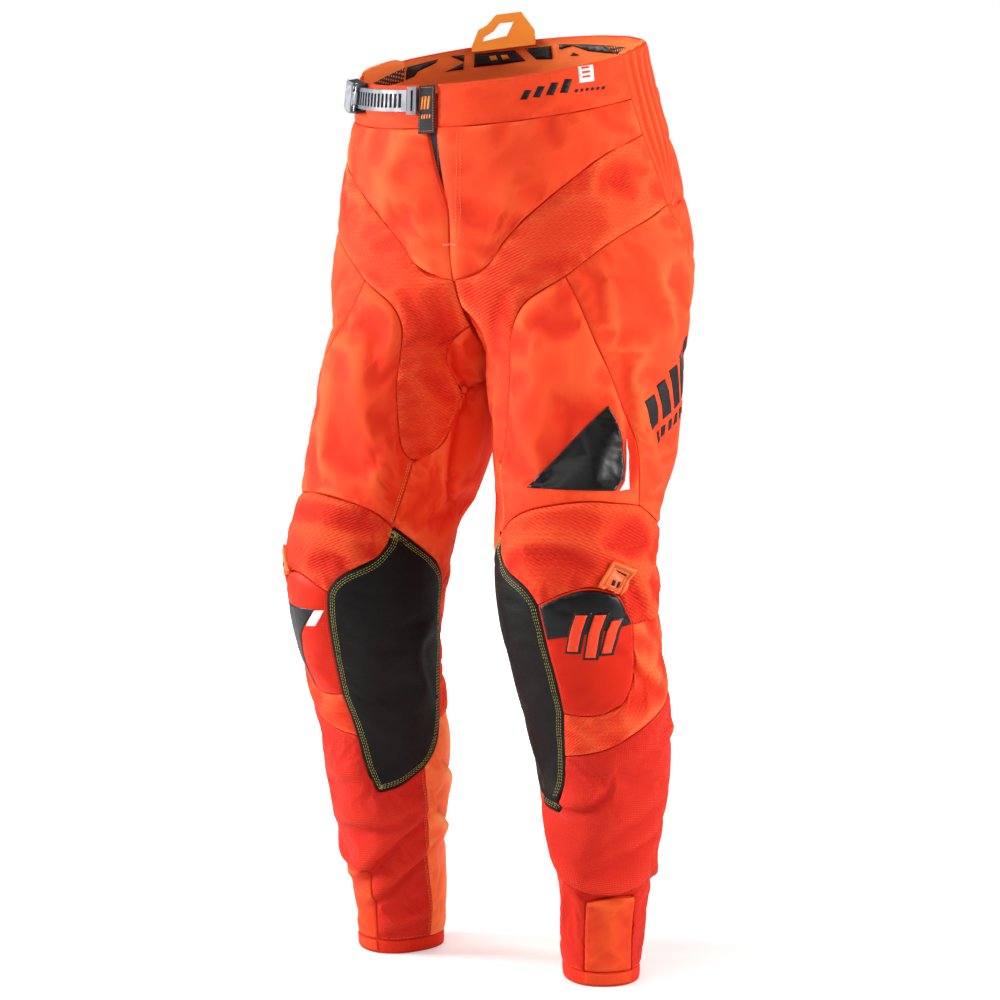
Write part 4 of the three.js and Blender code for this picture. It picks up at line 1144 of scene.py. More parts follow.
ORANGE = linear(252, 84, 40)
ORANGE_DEEP = linear(234, 58, 24)
FINISH = {
    "shell": plain_weave("Outer_weave", ORANGE, ORANGE_DEEP),
    "thigh": plain_weave("Thigh_weave", linear(251, 74, 34), linear(233, 52, 21)),
    "hem": plain_weave("Hem_weave", linear(238, 54, 24), linear(214, 36, 14)),
    "insert": plain_weave("Insert_weave", linear(234, 76, 24), linear(216, 54, 14), 0.6),
    # The calf's pale dye is partly its own colour and partly painted light that makes up for the shade on the calf.
    "calf": plain_weave("Calf_weave", linear(255, 144, 82), linear(255, 106, 52), 0.6),
    "liner": plain_weave("Liner_weave", linear(235, 80, 50), linear(205, 52, 28), 0.8),
    # The facing's paler dye is partly its own colour and partly painted light that makes up for the shade inside the
    # waist.
    "facing": plain_weave("Facing_weave", linear(255, 150, 80), linear(255, 120, 56)),
    "rib": rib_knit("Rib_knit", linear(253, 88, 44), linear(226, 46, 18), -28),
    "knee": rib_knit("Knee_knit", linear(249, 71, 33), linear(216, 38, 14), 28, 9.6, 2.8, 0.85),
    "vent": vent_mesh("Vent_mesh", linear(244, 56, 20), linear(208, 28, 8), 6),
    "cup": coated("Cup_skin", linear(219, 40, 7), linear(202, 30, 5)),
    "leather": leather("Knee_leather", linear(10, 4, 5), linear(23, 15, 15)),
    "black_print": print_film("Black_print", linear(7, 5, 6), 0.34),
    "white_print": print_film("White_print", linear(238, 238, 236), 0.35),
    "cup_print": print_film("Cup_print", linear(240, 62, 22), 0.45),
    "patch_print": print_film("Patch_print", linear(250, 128, 40), 0.5),
    "dotted": dotted("Dotted_mesh", linear(24, 24, 26), linear(252, 120, 50)),
    "matt_black": print_film("Matt_black_print", linear(15, 13, 15), 0.55),
    "badge": moulded("Badge_rubber", linear(238, 98, 30), 0.4),
    "loop": moulded("Loop_rubber", linear(253, 132, 18), 0.45),
    "grip": moulded("Grip_rubber", linear(18, 17, 18), 0.5),
    "tape": webbing("Black_tape", linear(26, 26, 29), linear(58, 58, 62)),
    "strap": moulded("Strap_plastic", linear(88, 90, 98), 0.4, 0.01),
    "frame": moulded("Frame_plastic", linear(80, 82, 90), 0.4, 0.01),
    "base": moulded("Base_metal", linear(56, 56, 60), 0.4, 0.03, 0.5),
    "lever": moulded("Lever_metal", linear(192, 195, 202), 0.36, 0.0, 0.8),
    "steel": moulded("Pin_steel", linear(150, 152, 156), 0.3, 0.0, 0.9),
    "teeth": moulded("Zip_teeth", linear(40, 40, 44), 0.35, 0.03),
    "green_thread": thread("Green_thread", linear(198, 196, 92)),
    "orange_thread": thread("Orange_thread", linear(255, 138, 60)),
    "tone_thread": thread("Tone_thread", linear(240, 72, 38)),
    "pale_thread": thread("Pale_thread", linear(255, 150, 105)),
}
# The record's slots, each with the finishes that follow it.
SLOT_FINISHES = {
    "shell_fabric": ("shell", "thigh", "facing", "tone_thread", "pale_thread"),
    "hem_fabric": ("hem", "insert"),
    "calf_fabric": ("calf",),
    "liner_mesh": ("liner",),
    "stretch_rib": ("rib", "knee", "green_thread", "orange_thread"),
    "vent_mesh": ("vent",),
    "knee_cup_skin": ("cup", "cup_print"),
    "leather": ("leather",),
    "black_tape": ("tape", "patch_print"),
    "grip_silicone": ("grip", "dotted", "black_print", "white_print", "matt_black"),
    "badge_rubber": ("badge",),
    "loop_rubber": ("loop",),
    "strap_plastic": ("strap", "frame"),
    "buckle_metal": ("base",),
    "lever_metal": ("lever",),
    "pin_steel": ("steel",),
    "zip_teeth": ("teeth",),
}
SLOTS = {finish: slot for slot, finishes in SLOT_FINISHES.items() for finish in finishes}


# ---------------------------------------------------------------- the cloth panels

FLY_PANELS = ("front_panel_left", "front_panel_right")
FLY_HALF = 12 * MM           # on each side of the middle the cloth keeps clear of the zip
FLY_ROOM = 1.2 * MM          # how far it stands off its unsettled place there


def keep_fly_room(sheet, bare):
    """Keeps settled cloth from sinking onto the zip's slider and pull."""
    normals = sheet.normals()
    sunk = FLY_ROOM - ((sheet.points - bare) * normals).sum(axis=1)
    near = smooth(2 * FLY_HALF - np.abs(sheet.points[:, 0]), 0, FLY_HALF)
    sheet.points = sheet.points + normals * (np.maximum(sunk, 0) * near)[:, None]


def panel_nodes():
    for kind, panel in PANELS.items():
        for side in SIDES:
            yield f"{kind}_{side}", panel
    yield from BANDS.items()
    yield from TAPES.items()


def shaped_sheets():
    """Every panel's outer face with its folds, settled as cloth unless the render is a quick one."""
    made = {node: fine_sheet(node, panel.cell) for node, panel in panel_nodes()}
    for side in SIDES:
        node = f"shin_mesh_panel_{side}"
        made[node] = regridded(made[node], CELL)
    for node, panel in panel_nodes():
        shape_sheet(made[node], panel)
    bare = {node: made[node].points.copy() for node in FLY_PANELS}
    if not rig.quick():
        simulate([(made[node], panel) for node, panel in panel_nodes() if panel.growth > 0])
    for node in FLY_PANELS:
        keep_fly_room(made[node], bare[node])
    for node, panel in panel_nodes():
        sew_edges(made[node], panel)
    return made


def line_with_facing(piece, sheet):
    """Gives the inner face of a cloth piece the facing's finish."""
    piece.data.materials.append(FINISH["facing"])
    lined = len(sheet.quads)
    for polygon in piece.data.polygons[lined:2 * lined]:
        polygon.material_index = 1


def make_cloth(node, panel):
    points, quads = closed_cloth(sheets[node], panel)
    piece = new_piece("Cloth_" + node, points, quads, FINISH[panel.finish], SLOTS[panel.finish])
    add_cloth_map(piece, side_of(node))
    add_hollows(piece, sheets[node])
    if node == "waistband_back":
        line_with_facing(piece, sheets[node])
    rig.replaces(piece, node)
    attach(piece, node)


sheets = shaped_sheets()
for node, panel in panel_nodes():
    make_cloth(node, panel)


# The tape's section: each corner's place up the leg and its depth inside the cloth, in mm.
TAPE_SECTION = ((-5, 1.7), (7, 1.7), (7, 2.2), (-5, 2.2))


def hem_tapes():
    """A thin tape inside the seam above each hem, so that no light passes through the seam."""
    for side in SIDES:
        sheet = sheets[f"hem_{side}"]
        loop = max(sheet.loops, key=lambda ring: sheet.points[ring][:, 2].mean())
        up = sheet.outward()[loop]
        inward = -sheet.normals()[loop]
        rings = []
        for rise, depth in TAPE_SECTION:
            rings.append(sheet.points[loop] + up * rise * MM + inward * depth * MM)
        count = len(loop)
        quads = []
        for ring in range(4):
            for k in range(count):
                following = (k + 1) % count
                a, b = ring * count, (ring + 1) % 4 * count
                quads.append((a + following, a + k, b + k, b + following))
        tape = new_piece("Hem_tape_" + side, np.vstack(rings), quads, FINISH["hem"], SLOTS["hem"])
        add_cloth_map(tape, SIDES[side])
        attach(tape, f"hem_{side}")


hem_tapes()


# ---------------------------------------------------------------- laying details on the cloth

RIM_MIDDLE = (RIM_BOX[0][1] + RIM_BOX[1][1]) / 2


class Chart:
    """Finds points of finished surfaces by angle and height, with level rays towards an axis.

    side is 1 or -1 for a leg's axis and 0 for the middle of the waist. From inside, the rays
    run outwards and find the lining."""

    def __init__(self, side, surfaces, inside=False):
        points = []
        faces = []
        total = 0
        for verts, polygons in surfaces:
            points.extend(np.asarray(verts).tolist())
            faces.extend([index + total for index in face] for face in plain_faces(polygons))
            total += len(verts)
        self.tree = BVHTree.FromPolygons(points, faces)
        self.side = side
        self.inside = inside

    def ray(self, angle, height):
        turn = math.radians(angle)
        sign = self.side or 1
        away = Vector((math.sin(turn) * sign, -math.cos(turn), 0))
        middle = Vector((0, RIM_MIDDLE, height * MM))
        if self.side:
            middle = Vector(axis_point(self.side, height * MM))
        if self.inside:
            return middle, away
        return middle + away * REACH, -away

    def place(self, angle, height):
        """The surface point there and the direction that points off the surface."""
        for nudge in (0, 0.6, -0.6, 1.2, -1.2):
            origin, heading = self.ray(angle + nudge, height + nudge)
            point, normal, _, _ = self.tree.ray_cast(origin, heading)
            if point is not None:
                break
        else:
            step = 0 if self.inside else REACH * 0.8
            point, normal, _, _ = self.tree.find_nearest(origin + heading * step)
        return point, normal if normal.dot(heading) < 0 else -normal

    def settle(self, point):
        """The nearest surface point and its outward direction."""
        found, normal, _, _ = self.tree.find_nearest(Vector(point))
        _, heading = self.ray(*self.angles(found))
        return found, normal if normal.dot(heading) < 0 else -normal

    def angles(self, point):
        if self.side:
            angle, height, _ = chart(np.array([point]), self.side)
            return float(angle[0]), float(height[0]) / MM
        return math.degrees(math.atan2(point.x, RIM_MIDDLE - point.y)), point.z / MM


def draped(outline, spots, lift, cell=3.0, under=0.15):
    """A thin closed patch laid on a surface. The outline is [angle, height] in degrees and mm."""
    stretch = DEGREE / MM
    flat, triangles = filled([(angle * stretch, height) for angle, height in outline], cell)
    top = []
    bottom = []
    for point in flat:
        spot, normal = spots.place(point.x / stretch, point.y)
        top.append(spot + normal * (lift * MM))
        bottom.append(spot - normal * (under * MM))
    count = len(flat)
    middle = triangles[len(triangles) // 2]
    a, b, c = (top[index] for index in middle)
    _, normal = spots.place(flat[middle[0]].x / stretch, flat[middle[0]].y)
    flip = (b - a).cross(c - a).dot(normal) < 0
    faces = [tuple(reversed(face)) if flip else tuple(face) for face in triangles]
    edges = set()
    for face in faces:
        edges.update(zip(face, face[1:] + face[:1]))
    walls = [(b, a, a + count, b + count) for a, b in edges if (b, a) not in edges]
    backs = [tuple(index + count for index in reversed(face)) for face in faces]
    return [tuple(point) for point in top + bottom], faces + backs + walls


class Pile:
    """Collects several closed bodies into one mesh."""

    def __init__(self):
        self.points = []
        self.faces = []

    def add(self, points, faces):
        total = len(self.points)
        self.points.extend(points)
        self.faces.extend(tuple(index + total for index in face) for face in faces)

    def make(self, name, finish, node, side=None):
        if not self.points:
            return None
        piece = new_piece(name, self.points, self.faces, FINISH[finish], SLOTS[finish], even=False)
        add_cloth_map(piece, side_of(node) if side is None else side)
        attach(piece, node)
        return piece


# ---------------------------------------------------------------- stitches

THREAD_RISE = 0.1 * MM       # of a thread's middle above the cloth
STITCH_SIDES = 5
# Rings of a stitch: place along it, width and height as shares of its length and thickness.
STITCH_RINGS = ((-0.5, 0.45, -0.5), (-0.3, 1.0, 0.25), (0.3, 1.0, 0.25), (0.5, 0.45, -0.5))


def stitch_row(pile, path, normals, pitch=3.4, length=2.4, thick=0.5):
    """Separate stitches of thread along a path, each one diving into the cloth at its ends."""
    path = np.asarray(path)
    steps = np.linalg.norm(np.diff(path, axis=0), axis=1)
    place = np.concatenate([[0], np.cumsum(steps)])
    count = int(place[-1] / (pitch * MM))
    for index in range(count):
        middle = (index + 0.5) * pitch * MM
        ends = [np.array([np.interp(middle + way * length * MM / 2, place, path[:, k]) for k in range(3)])
                for way in (-1, 1)]
        normal = np.array([np.interp(middle, place, normals[:, k]) for k in range(3)])
        normal /= np.linalg.norm(normal)
        run = ends[1] - ends[0]
        size = np.linalg.norm(run)
        if size < 0.3 * length * MM:
            continue
        run /= size
        side = np.cross(normal, run)
        centre = (ends[0] + ends[1]) / 2
        points = []
        for along, wide, rise in STITCH_RINGS:
            for k in range(STITCH_SIDES):
                turn = 2 * math.pi * k / STITCH_SIDES
                offset = side * math.cos(turn) + normal * math.sin(turn) * 0.8
                points.append(tuple(centre + run * along * size + offset * wide * thick * MM / 2
                                    + normal * rise * thick * MM / 2))
        faces = []
        for ring in range(len(STITCH_RINGS) - 1):
            for k in range(STITCH_SIDES):
                a = ring * STITCH_SIDES + k
                b = ring * STITCH_SIDES + (k + 1) % STITCH_SIDES
                faces.append((a, b, b + STITCH_SIDES, a + STITCH_SIDES))
        last = (len(STITCH_RINGS) - 1) * STITCH_SIDES
        faces.append(tuple(reversed(range(STITCH_SIDES))))
        faces.append(tuple(range(last, last + STITCH_SIDES)))
        pile.add(points, faces)


def runs_of(mask):
    """The unbroken stretches of a closed ring where mask is true, as lists of positions."""
    if mask.all():
        return [list(range(len(mask))) + [0]]
    start = int(np.argmin(mask))
    runs = []
    current = []
    for step in range(len(mask)):
        index = (start + step) % len(mask)
        if mask[index]:
            current.append(index)
        elif current:
            runs.append(current)
            current = []
    if current:
        runs.append(current)
    return [run for run in runs if len(run) > 3]


MEETING = 3.6 * MM           # two panels meet where their edges are closer than this


def edge_runs(sheet, neighbours, inset, spots):
    """Paths a little inside a panel's edge, where it meets the named neighbours."""
    outward = sheet.outward()
    for loop in sheet.loops:
        mask = np.ones(len(loop), bool)
        if neighbours:
            tree = KDTree(sum(len(ring) for other in neighbours for ring in other.loops))
            for other in neighbours:
                for ring in other.loops:
                    for index in ring:
                        tree.insert(other.points[index], 0)
            tree.balance()
            mask = np.array([tree.find(sheet.points[index])[2] < MEETING for index in loop])
        for run in runs_of(mask):
            found = [spots.settle(sheet.points[loop[k]] - outward[loop[k]] * inset * MM) for k in run]
            path = np.array([spot for spot, _ in found])
            normals = np.array([normal for _, normal in found])
            smoothed = path.copy()
            smoothed[1:-1] = (path[:-2] + 2 * path[1:-1] + path[2:]) / 4
            yield smoothed + normals * THREAD_RISE, normals


# Sewn rows: the panel, the panels it meets there (none means its whole edge), the rows'
# distances from the edge, and the thread.
ROWS = [
    ("inner_knee_leather", (), (3.0, 5.2, 7.4), "green_thread"),
    ("thigh_front", ("thigh_back",), (1.8, 3.8), "green_thread"),
    ("shin_mesh_panel", ("calf_panel",), (1.8, 3.8), "orange_thread"),
    ("shin_mesh_panel", ("hem",), (2.4,), "orange_thread"),
    ("cuff_insert", ("shin_mesh_panel",), (2.0,), "tone_thread"),
    ("front_panel", ("hip_stretch_band",), (2.2,), "tone_thread"),
    ("hip_stretch_band", ("thigh_front", "thigh_side"), (2.0,), "tone_thread"),
    ("thigh_side", ("thigh_front",), (2.2,), "tone_thread"),
    ("thigh_side", ("thigh_back", "seat_panel"), (2.2, 5.2), "tone_thread"),
    ("knee_stretch_panel", ("thigh_front",), (2.0,), "tone_thread"),
    ("knee_cup", (), (2.0,), "tone_thread"),
    ("shin_stretch_band", ("shin_mesh_panel",), (2.0,), "tone_thread"),
    ("side_pleat_panel", ("front_panel", "hip_stretch_band"), (2.4,), "pale_thread"),
    ("side_pleat_panel", ("seat_panel",), (2.4,), "pale_thread"),
    ("seat_panel", ("thigh_back",), (2.2, 5.2), "tone_thread"),
    ("crotch_gusset", ("hip_stretch_band", "thigh_back"), (2.0,), "tone_thread"),
]
BAND_ROWS = {
    "waistband_front_left": 2.8,
    "waistband_front_right": 2.8,
    "waistband_back": 2.8,
    "rear_stretch_yoke": 2.2,
}

faces_of = {node: (sheet.points, sheet.quads) for node, sheet in sheets.items()}
leg_spots = {
    name: Chart(sign, [faces_of[node] for node in sheets if side_of(node) == sign and "liner" not in node])
    for name, sign in SIDES.items()
}
waist_spots = Chart(0, [faces_of[node] for node in BANDS])


def sew_along(pile, sheet, neighbours, inset, spots, **sizes):
    """Stitches inside a panel's edge, where it meets its neighbours, or all the way round."""
    for path, normals in edge_runs(sheet, neighbours, inset, spots):
        stitch_row(pile, path, normals, **sizes)


def sew_rows():
    for number, (kind, others, insets, finish) in enumerate(ROWS):
        for side in SIDES:
            sheet = sheets[f"{kind}_{side}"]
            neighbours = [sheets[f"{other}_{side}"] for other in others]
            pile = Pile()
            for inset in insets:
                sew_along(pile, sheet, neighbours, inset, leg_spots[side])
            pile.make(f"Stitches_{kind}_{number}_{side}", finish, f"{kind}_{side}")
    for node, inset in BAND_ROWS.items():
        pile = Pile()
        sew_along(pile, sheets[node], [], inset, waist_spots)
        pile.make(f"Stitches_{node}", "tone_thread", node)


def chart_row(pile, spots, corners, **sizes):
    """A row of stitches along straight stretches between [angle, height] corners."""
    found = []
    for (a0, h0), (a1, h1) in zip(corners, corners[1:]):
        count = max(2, int(math.hypot((a1 - a0) * DEGREE / MM, h1 - h0) / 2.5))
        for step in range(count):
            share = step / count
            found.append(spots.place(a0 + (a1 - a0) * share, h0 + (h1 - h0) * share))
    found.append(spots.place(*corners[-1]))
    path = np.array([point for point, _ in found])
    normals = np.array([normal for _, normal in found])
    stitch_row(pile, path + normals * THREAD_RISE, normals, **sizes)


def sew_fly():
    """The double J-shaped row that holds the fly's facing, and the bar tack across its foot."""
    pile = Pile()
    fly = [(-28, 858), (-30, 823), (-33, 785), (-36, 750)]
    chart_row(pile, leg_spots["left"], fly)
    chart_row(pile, leg_spots["left"], [(angle + 1.6, height) for angle, height in fly])
    front = Chart(0, [faces_of["front_panel_left"], faces_of["front_panel_right"]])
    for drop in (0, 1.2):
        chart_row(pile, front, [(-3.6, 749 - drop), (4.4, 748.4 - drop)], pitch=1.3, length=1.7, thick=0.8)
    pile.make("Stitches_fly", "pale_thread", "front_panel_left")


# ---------------------------------------------------------------- prints, all of them plain shapes

def inset_outline(sheet, inset):
    """A panel's own outline on the chart, a little inside its edge."""
    loop = sheet.loops[0]
    edge = sheet.points[loop] - sheet.outward()[loop] * inset * MM
    angle, height, _ = chart(edge, sheet.side)
    return list(zip(angle.tolist(), (height / MM).tolist()))


def clipped(outline, start, end):
    """The part of an outline on the left of the line from start to end."""
    def side(point):
        return (end[0] - start[0]) * (point[1] - start[1]) - (end[1] - start[1]) * (point[0] - start[0])

    result = []
    for before, point in zip(outline[-1:] + outline[:-1], outline):
        first, second = side(before), side(point)
        if first * second < 0:
            share = first / (first - second)
            result.append(tuple(a + (b - a) * share for a, b in zip(before, point)))
        if second >= 0:
            result.append(point)
    return result


def slanted_bar(angle, height, width, tall, lean):
    """A leaning bar from its lower left corner, in degrees across and mm up."""
    top = height + tall
    return [(angle, height), (angle + width, height), (angle + width + lean, top), (angle + lean, top)]


def moved(outline, angle, height, turn=0.0):
    """An outline turned and moved on the chart."""
    stretch = DEGREE / MM
    c, s = math.cos(math.radians(turn)), math.sin(math.radians(turn))
    result = []
    for a, h in outline:
        x, y = a * stretch, h
        result.append((angle + (x * c - y * s) / stretch, height + x * s + y * c))
    return result


def print_shapes(name, shapes, spots, finish, node, lift=0.35, cell=3.0, **options):
    """One piece of thin patches, which moves with the cloth of that node."""
    pile = Pile()
    for outline in shapes:
        pile.add(*draped(outline, spots, lift, cell, **options))
    return pile.make(name, finish, node, spots.side)


def print_thigh():
    """The left thigh's black triangle, with a white sliver along its outer side."""
    spots = leg_spots["left"]
    triangle = [(-7, 511), (38, 590), (43, 576), (47, 558), (49.5, 530), (48.5, 519), (43, 509)]
    print_shapes("Print_thigh_black", [triangle], spots, "black_print", "thigh_front_left", 0.9, 2.0)
    sliver = [(50.0, 558), (51.8, 543), (52.4, 524), (51.8, 510), (45.5, 508.5), (49.6, 518), (50.6, 530)]
    print_shapes("Print_thigh_white", [sliver], spots, "white_print", "thigh_front_left", 0.9, 1.6)


SIDE_TURN = 28               # degrees by which the side's bars are turned


def print_side(side):
    """Five bars that grow up the outside of the thigh, over a row of six small ones."""
    bars = []
    for step in range(5):
        bar = slanted_bar(0, 0, 9.5, 30 + 5 * step, 2.6 + 0.4 * step)
        bars.append(moved(bar, 66 + step * 12.6, 566 + step * 10, SIDE_TURN))
    for step in range(6):
        bars.append(moved(slanted_bar(0, 0, 4, 10, 1.5), 74 + step * 7, 553 + step * 5.6, SIDE_TURN))
    print_shapes(f"Print_side_{side}", bars, leg_spots[side], "matt_black", f"thigh_side_{side}", 0.6, 2.2)


def insert_foot(side):
    """The insert's cloth over the hem below it."""
    node = f"cuff_insert_{side}"
    insert = np.array(inset_outline(sheets[node], 0.5))
    top = sheets[f"hem_{side}"].points[:, 2].max() / MM + 1.5
    low = insert[insert[:, 1] < insert[:, 1].min() + 8]
    near, far = low[:, 0].min(), low[:, 0].max()
    foot = [(near, 2.5), (far, 2.5), (far, top), (near, top)]
    print_shapes(f"Insert_foot_{side}", [foot], leg_spots[side], "insert", node, 0.9, 2.0)


def print_left_cup():
    """A black upper part, with three leaning bars and their black edges over it."""
    spots = leg_spots["left"]
    node = "knee_cup_left"
    upper = clipped(inset_outline(sheets[node], 1.2), (-40, 356), (70, 384))
    print_shapes("Print_cup_left", [upper], spots, "black_print", node)
    bars = ((15, 356, 36), (26, 350, 42), (37, 354, 32))
    edges = [slanted_bar(a - 1.6, h - 2.4, 10.2, tall + 4.8, 8) for a, h, tall in bars]
    print_shapes("Print_mark_edge_left", edges, spots, "black_print", node, lift=0.5, cell=2.5)
    marks = [slanted_bar(a, h, 6.8, tall, 7) for a, h, tall in bars]
    print_shapes("Print_mark_left", marks, spots, "cup_print", node, lift=0.8, cell=2.5)


def print_right_cup():
    """A black wedge and a small white tag."""
    spots = leg_spots["right"]
    node = "knee_cup_right"
    wedge = [(64, 384), (10, 381), (30, 352), (37, 328), (38, 292), (42, 318), (64, 340)]
    print_shapes("Print_cup_right", [wedge], spots, "black_print", node, cell=2.5)
    tag = [(21, 362.5), (11, 380), (3, 381), (12, 363.5)]
    print_shapes("Print_tag_right", [tag], spots, "white_print", node, cell=2.0)


def print_waistband():
    """Four growing bars, a row of small ones and a white tag with three marks, on the left front."""
    spots = waist_spots
    node = "waistband_front_left"
    bars = [slanted_bar(34.0 + 5.2 * k, 886.5 + 2.2 * k, 2.8, 9 + 1.5 * k, 2.0) for k in range(4)]
    print_shapes("Print_waist_bars", bars, spots, "matt_black", node, lift=0.25, cell=2.0)
    tag = [(57, 903), (63, 906), (63, 922), (57, 919)]
    print_shapes("Print_waist_tag", [tag], spots, "white_print", node, lift=0.3, cell=2.0)
    marks = [[(58.4, 908 + 4.4 * k), (61.6, 909.6 + 4.4 * k), (61.6, 911.6 + 4.4 * k), (58.4, 910 + 4.4 * k)]
             for k in range(3)]
    print_shapes("Print_waist_marks", marks, spots, "cup_print", node, lift=0.45, cell=1.5)
    small = [slanted_bar(55 + 2.2 * k, 894 + 0.9 * k, 1.2, 3, 0.5) for k in range(6)]
    print_shapes("Print_waist_small", small, spots, "matt_black", node, lift=0.25, cell=1.5)


FACING = 1.2 * MM            # cloth of the facings inside the side panels
FACING_GAP = 0.4 * MM
FACING_LAP = 2.5             # degrees by which a facing laps over the waistbands beside it
BINDING_RISE = 1.4 * MM      # a facing turns over the top edge of its side panel as a binding
PLEAT_DEPTH = 2.8 * MM       # from the outside of a side panel to clear of its inside


def waist_place(points):
    """Angle in degrees, height and radius round the middle of the waist."""
    across = points[:, 0]
    ahead = RIM_MIDDLE - points[:, 1]
    return np.degrees(np.arctan2(across, ahead)), points[:, 2], np.hypot(across, ahead)


def band_end(name, sign):
    """The inner side of a waistband where it ends at the side panel: angle, heights and radii."""
    turn, height, radius = waist_place(sheets[name].points)
    turn = turn * sign
    beside = turn > 0
    last = turn[beside].min() if name == "waistband_back" else turn[beside].max()
    close = beside & (np.abs(turn - last) < 2)
    foot, top = height[close].min(), height[close].max()
    low = radius[close & (height < foot + 5 * MM)].mean()
    high = radius[close & (height > top - 5 * MM)].mean()
    inset = WAISTBAND + FACING_GAP
    return last, foot, top, low - inset, high - inset


def side_facing(side):
    """A smooth facing inside the top of a pleated side panel. Returns its inner face."""
    sign = SIDES[side]
    sheet = sheets["side_pleat_panel_" + side]
    panel = Chart(0, [faces_of[sheet.name]])
    start = np.array(band_end("waistband_back", sign))
    end = np.array(band_end("waistband_front_" + side, sign))
    start[0] += FACING_LAP
    end[0] -= FACING_LAP
    rim_turn, rim_height, rim_radius = waist_place(sheet.points[sheet.loops[0]])
    across, up = 36, 8
    stations = []
    room = []
    for share in np.linspace(0, 1, across + 1):
        turn, foot, top, low, high = start + (end - start) * share
        over = high
        close = (np.abs(rim_turn * sign - turn) < 3) & (rim_height > top - 12 * MM)
        if close.any():
            top = max(top, rim_height[close].max())
            over = max(over, rim_radius[close].min() - FACING_GAP)
        if 0.08 < share < 0.92:
            for rise in (0.2, 0.4, 0.6, 0.8, 0.9):
                outer, _ = panel.place(turn * sign, (foot + (top - foot) * rise) / MM)
                free = math.hypot(outer.x, RIM_MIDDLE - outer.y) - PLEAT_DEPTH
                room.append((free - low - (high - low) * rise) / (4 * share * (1 - share)))
        stations.append((share, turn, foot, top, low, high, over))
    face = []
    back = []
    for share, turn, foot, top, low, high, over in stations:
        away = np.array([math.sin(math.radians(turn)) * sign, -math.cos(math.radians(turn)), 0])
        for rise in np.linspace(0, 1, up + 1):
            radius = low + (high - low) * rise + min(room) * 4 * share * (1 - share)
            lift = BINDING_RISE * smooth(share, 0, 0.1) * smooth(1 - share, 0, 0.1) if rise == 1 else 0
            middle = np.array([0, RIM_MIDDLE, foot + (top - foot) * rise + lift])
            back.append(middle + away * (max(over, radius) if rise == 1 else radius))
            face.append(middle + away * (radius - FACING))
    quads = []
    count = len(face)
    for k in range(across):
        for j in range(up):
            a = k * (up + 1) + j
            b = a + up + 1
            quads.append((a, b, b + 1, a + 1))
    ring = [k * (up + 1) for k in range(across + 1)]
    ring += [across * (up + 1) + j for j in range(1, up + 1)]
    ring += [k * (up + 1) + up for k in range(across - 1, -1, -1)]
    ring += list(range(up - 1, 0, -1))
    faces = list(quads) + [tuple(index + count for index in reversed(quad)) for quad in quads]
    for a, b in zip(ring, ring[1:] + ring[:1]):
        faces.append((b, a, a + count, b + count))
    if sign < 0:
        faces = [tuple(reversed(quad)) for quad in faces]
        quads = [tuple(reversed(quad)) for quad in quads]
    piece = new_piece("Facing_" + side, face + back, faces, FINISH["facing"], SLOTS["facing"], even=False)
    add_cloth_map(piece, 0)
    attach(piece, "waistband_back")
    return np.array(face), np.array(quads)


def line_waistband():
    """Black grip shapes on the lining, in [waist angle, share of its height]."""
    band = sheets["waistband_back"]
    inner = band.points - band.normals() * WAISTBAND
    facings = [side_facing(side) for side in SIDES]
    spots = Chart(0, [(inner, band.quads[:, ::-1])] + facings, inside=True)
    lining = np.vstack([inner] + [face for face, _ in facings])
    turn = waist_place(lining)[0] % 360

    def at(angle, share):
        close = lining[np.abs(turn - angle) < 2.5][:, 2]
        return angle, (close.min() + (close.max() - close.min()) * share) / MM

    shapes = [
        [(232, 0.88), (226, 0.86), (226, 0.69)],
        [(234, 0.52), (226, 0.66), (226, 0.50)],
        [(221, 0.84), (201, 0.82), (195, 0.51), (221, 0.52)],
        [(195, 0.82), (180, 0.84), (180, 0.50), (189, 0.52)],
        [(169, 0.55), (167, 0.63), (164, 0.55)],
        [(175, 0.86), (159, 0.82), (146, 0.78), (140, 0.58), (157, 0.64), (167, 0.80), (175, 0.73)],
        [(252, 0.82), (238, 0.86), (239, 0.78), (247, 0.66), (248, 0.56), (252, 0.52)],
    ]
    solid = [[at(*corner) for corner in reversed(shape)] for shape in shapes]
    strip = print_shapes("Grip_shapes", solid, spots, "grip", "waist_grip_strip", lift=0.9)
    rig.replaces(strip, "waist_grip_strip")
    ends = [[(145, 0.78), (120, 0.76), (120, 0.50), (139, 0.56)],
            [(276, 0.62), (253, 0.82), (253, 0.50), (272, 0.46)]]
    mesh = [[at(*corner) for corner in reversed(shape)] for shape in ends]
    print_shapes("Grip_mesh", mesh, spots, "dotted", "waist_grip_strip", lift=0.7)
    stripes = [[at(*corner) for corner in reversed(slant)] for slant in (
        [(214, 0.74), (210.5, 0.74), (209.5, 0.62), (213, 0.62)],
        [(208, 0.73), (204.5, 0.73), (203.5, 0.61), (207, 0.61)])]
    print_shapes("Grip_stripes", stripes, spots, "loop", "waist_grip_strip", lift=1.2, cell=2.0)


# ---------------------------------------------------------------- badge and closure details

BADGE = [(41, 444), (54, 434), (48, 409), (34, 420)]
BADGE_PLATE = 2.0            # height of its plate in millimetres
SUNK = -1.5                  # the raised parts start 1.5 mm above the cloth, inside the plate


def shrunk(outline, share):
    """An outline drawn in towards its middle."""
    middle = np.mean(outline, axis=0)
    return [tuple(middle + (np.array(point) - middle) * share) for point in outline]


def rounded(outline, share=0.14, steps=3):
    """An outline with each corner replaced by a short curve."""
    result = []
    for before, point, after in zip(outline[-1:] + outline[:-1], outline, outline[1:] + outline[:1]):
        before, point, after = (np.array(spot, float) for spot in (before, point, after))
        start = point + (before - point) * share
        end = point + (after - point) * share
        for step in range(steps + 1):
            t = step / steps
            result.append(tuple((1 - t) ** 2 * start + 2 * t * (1 - t) * point + t ** 2 * end))
    return result


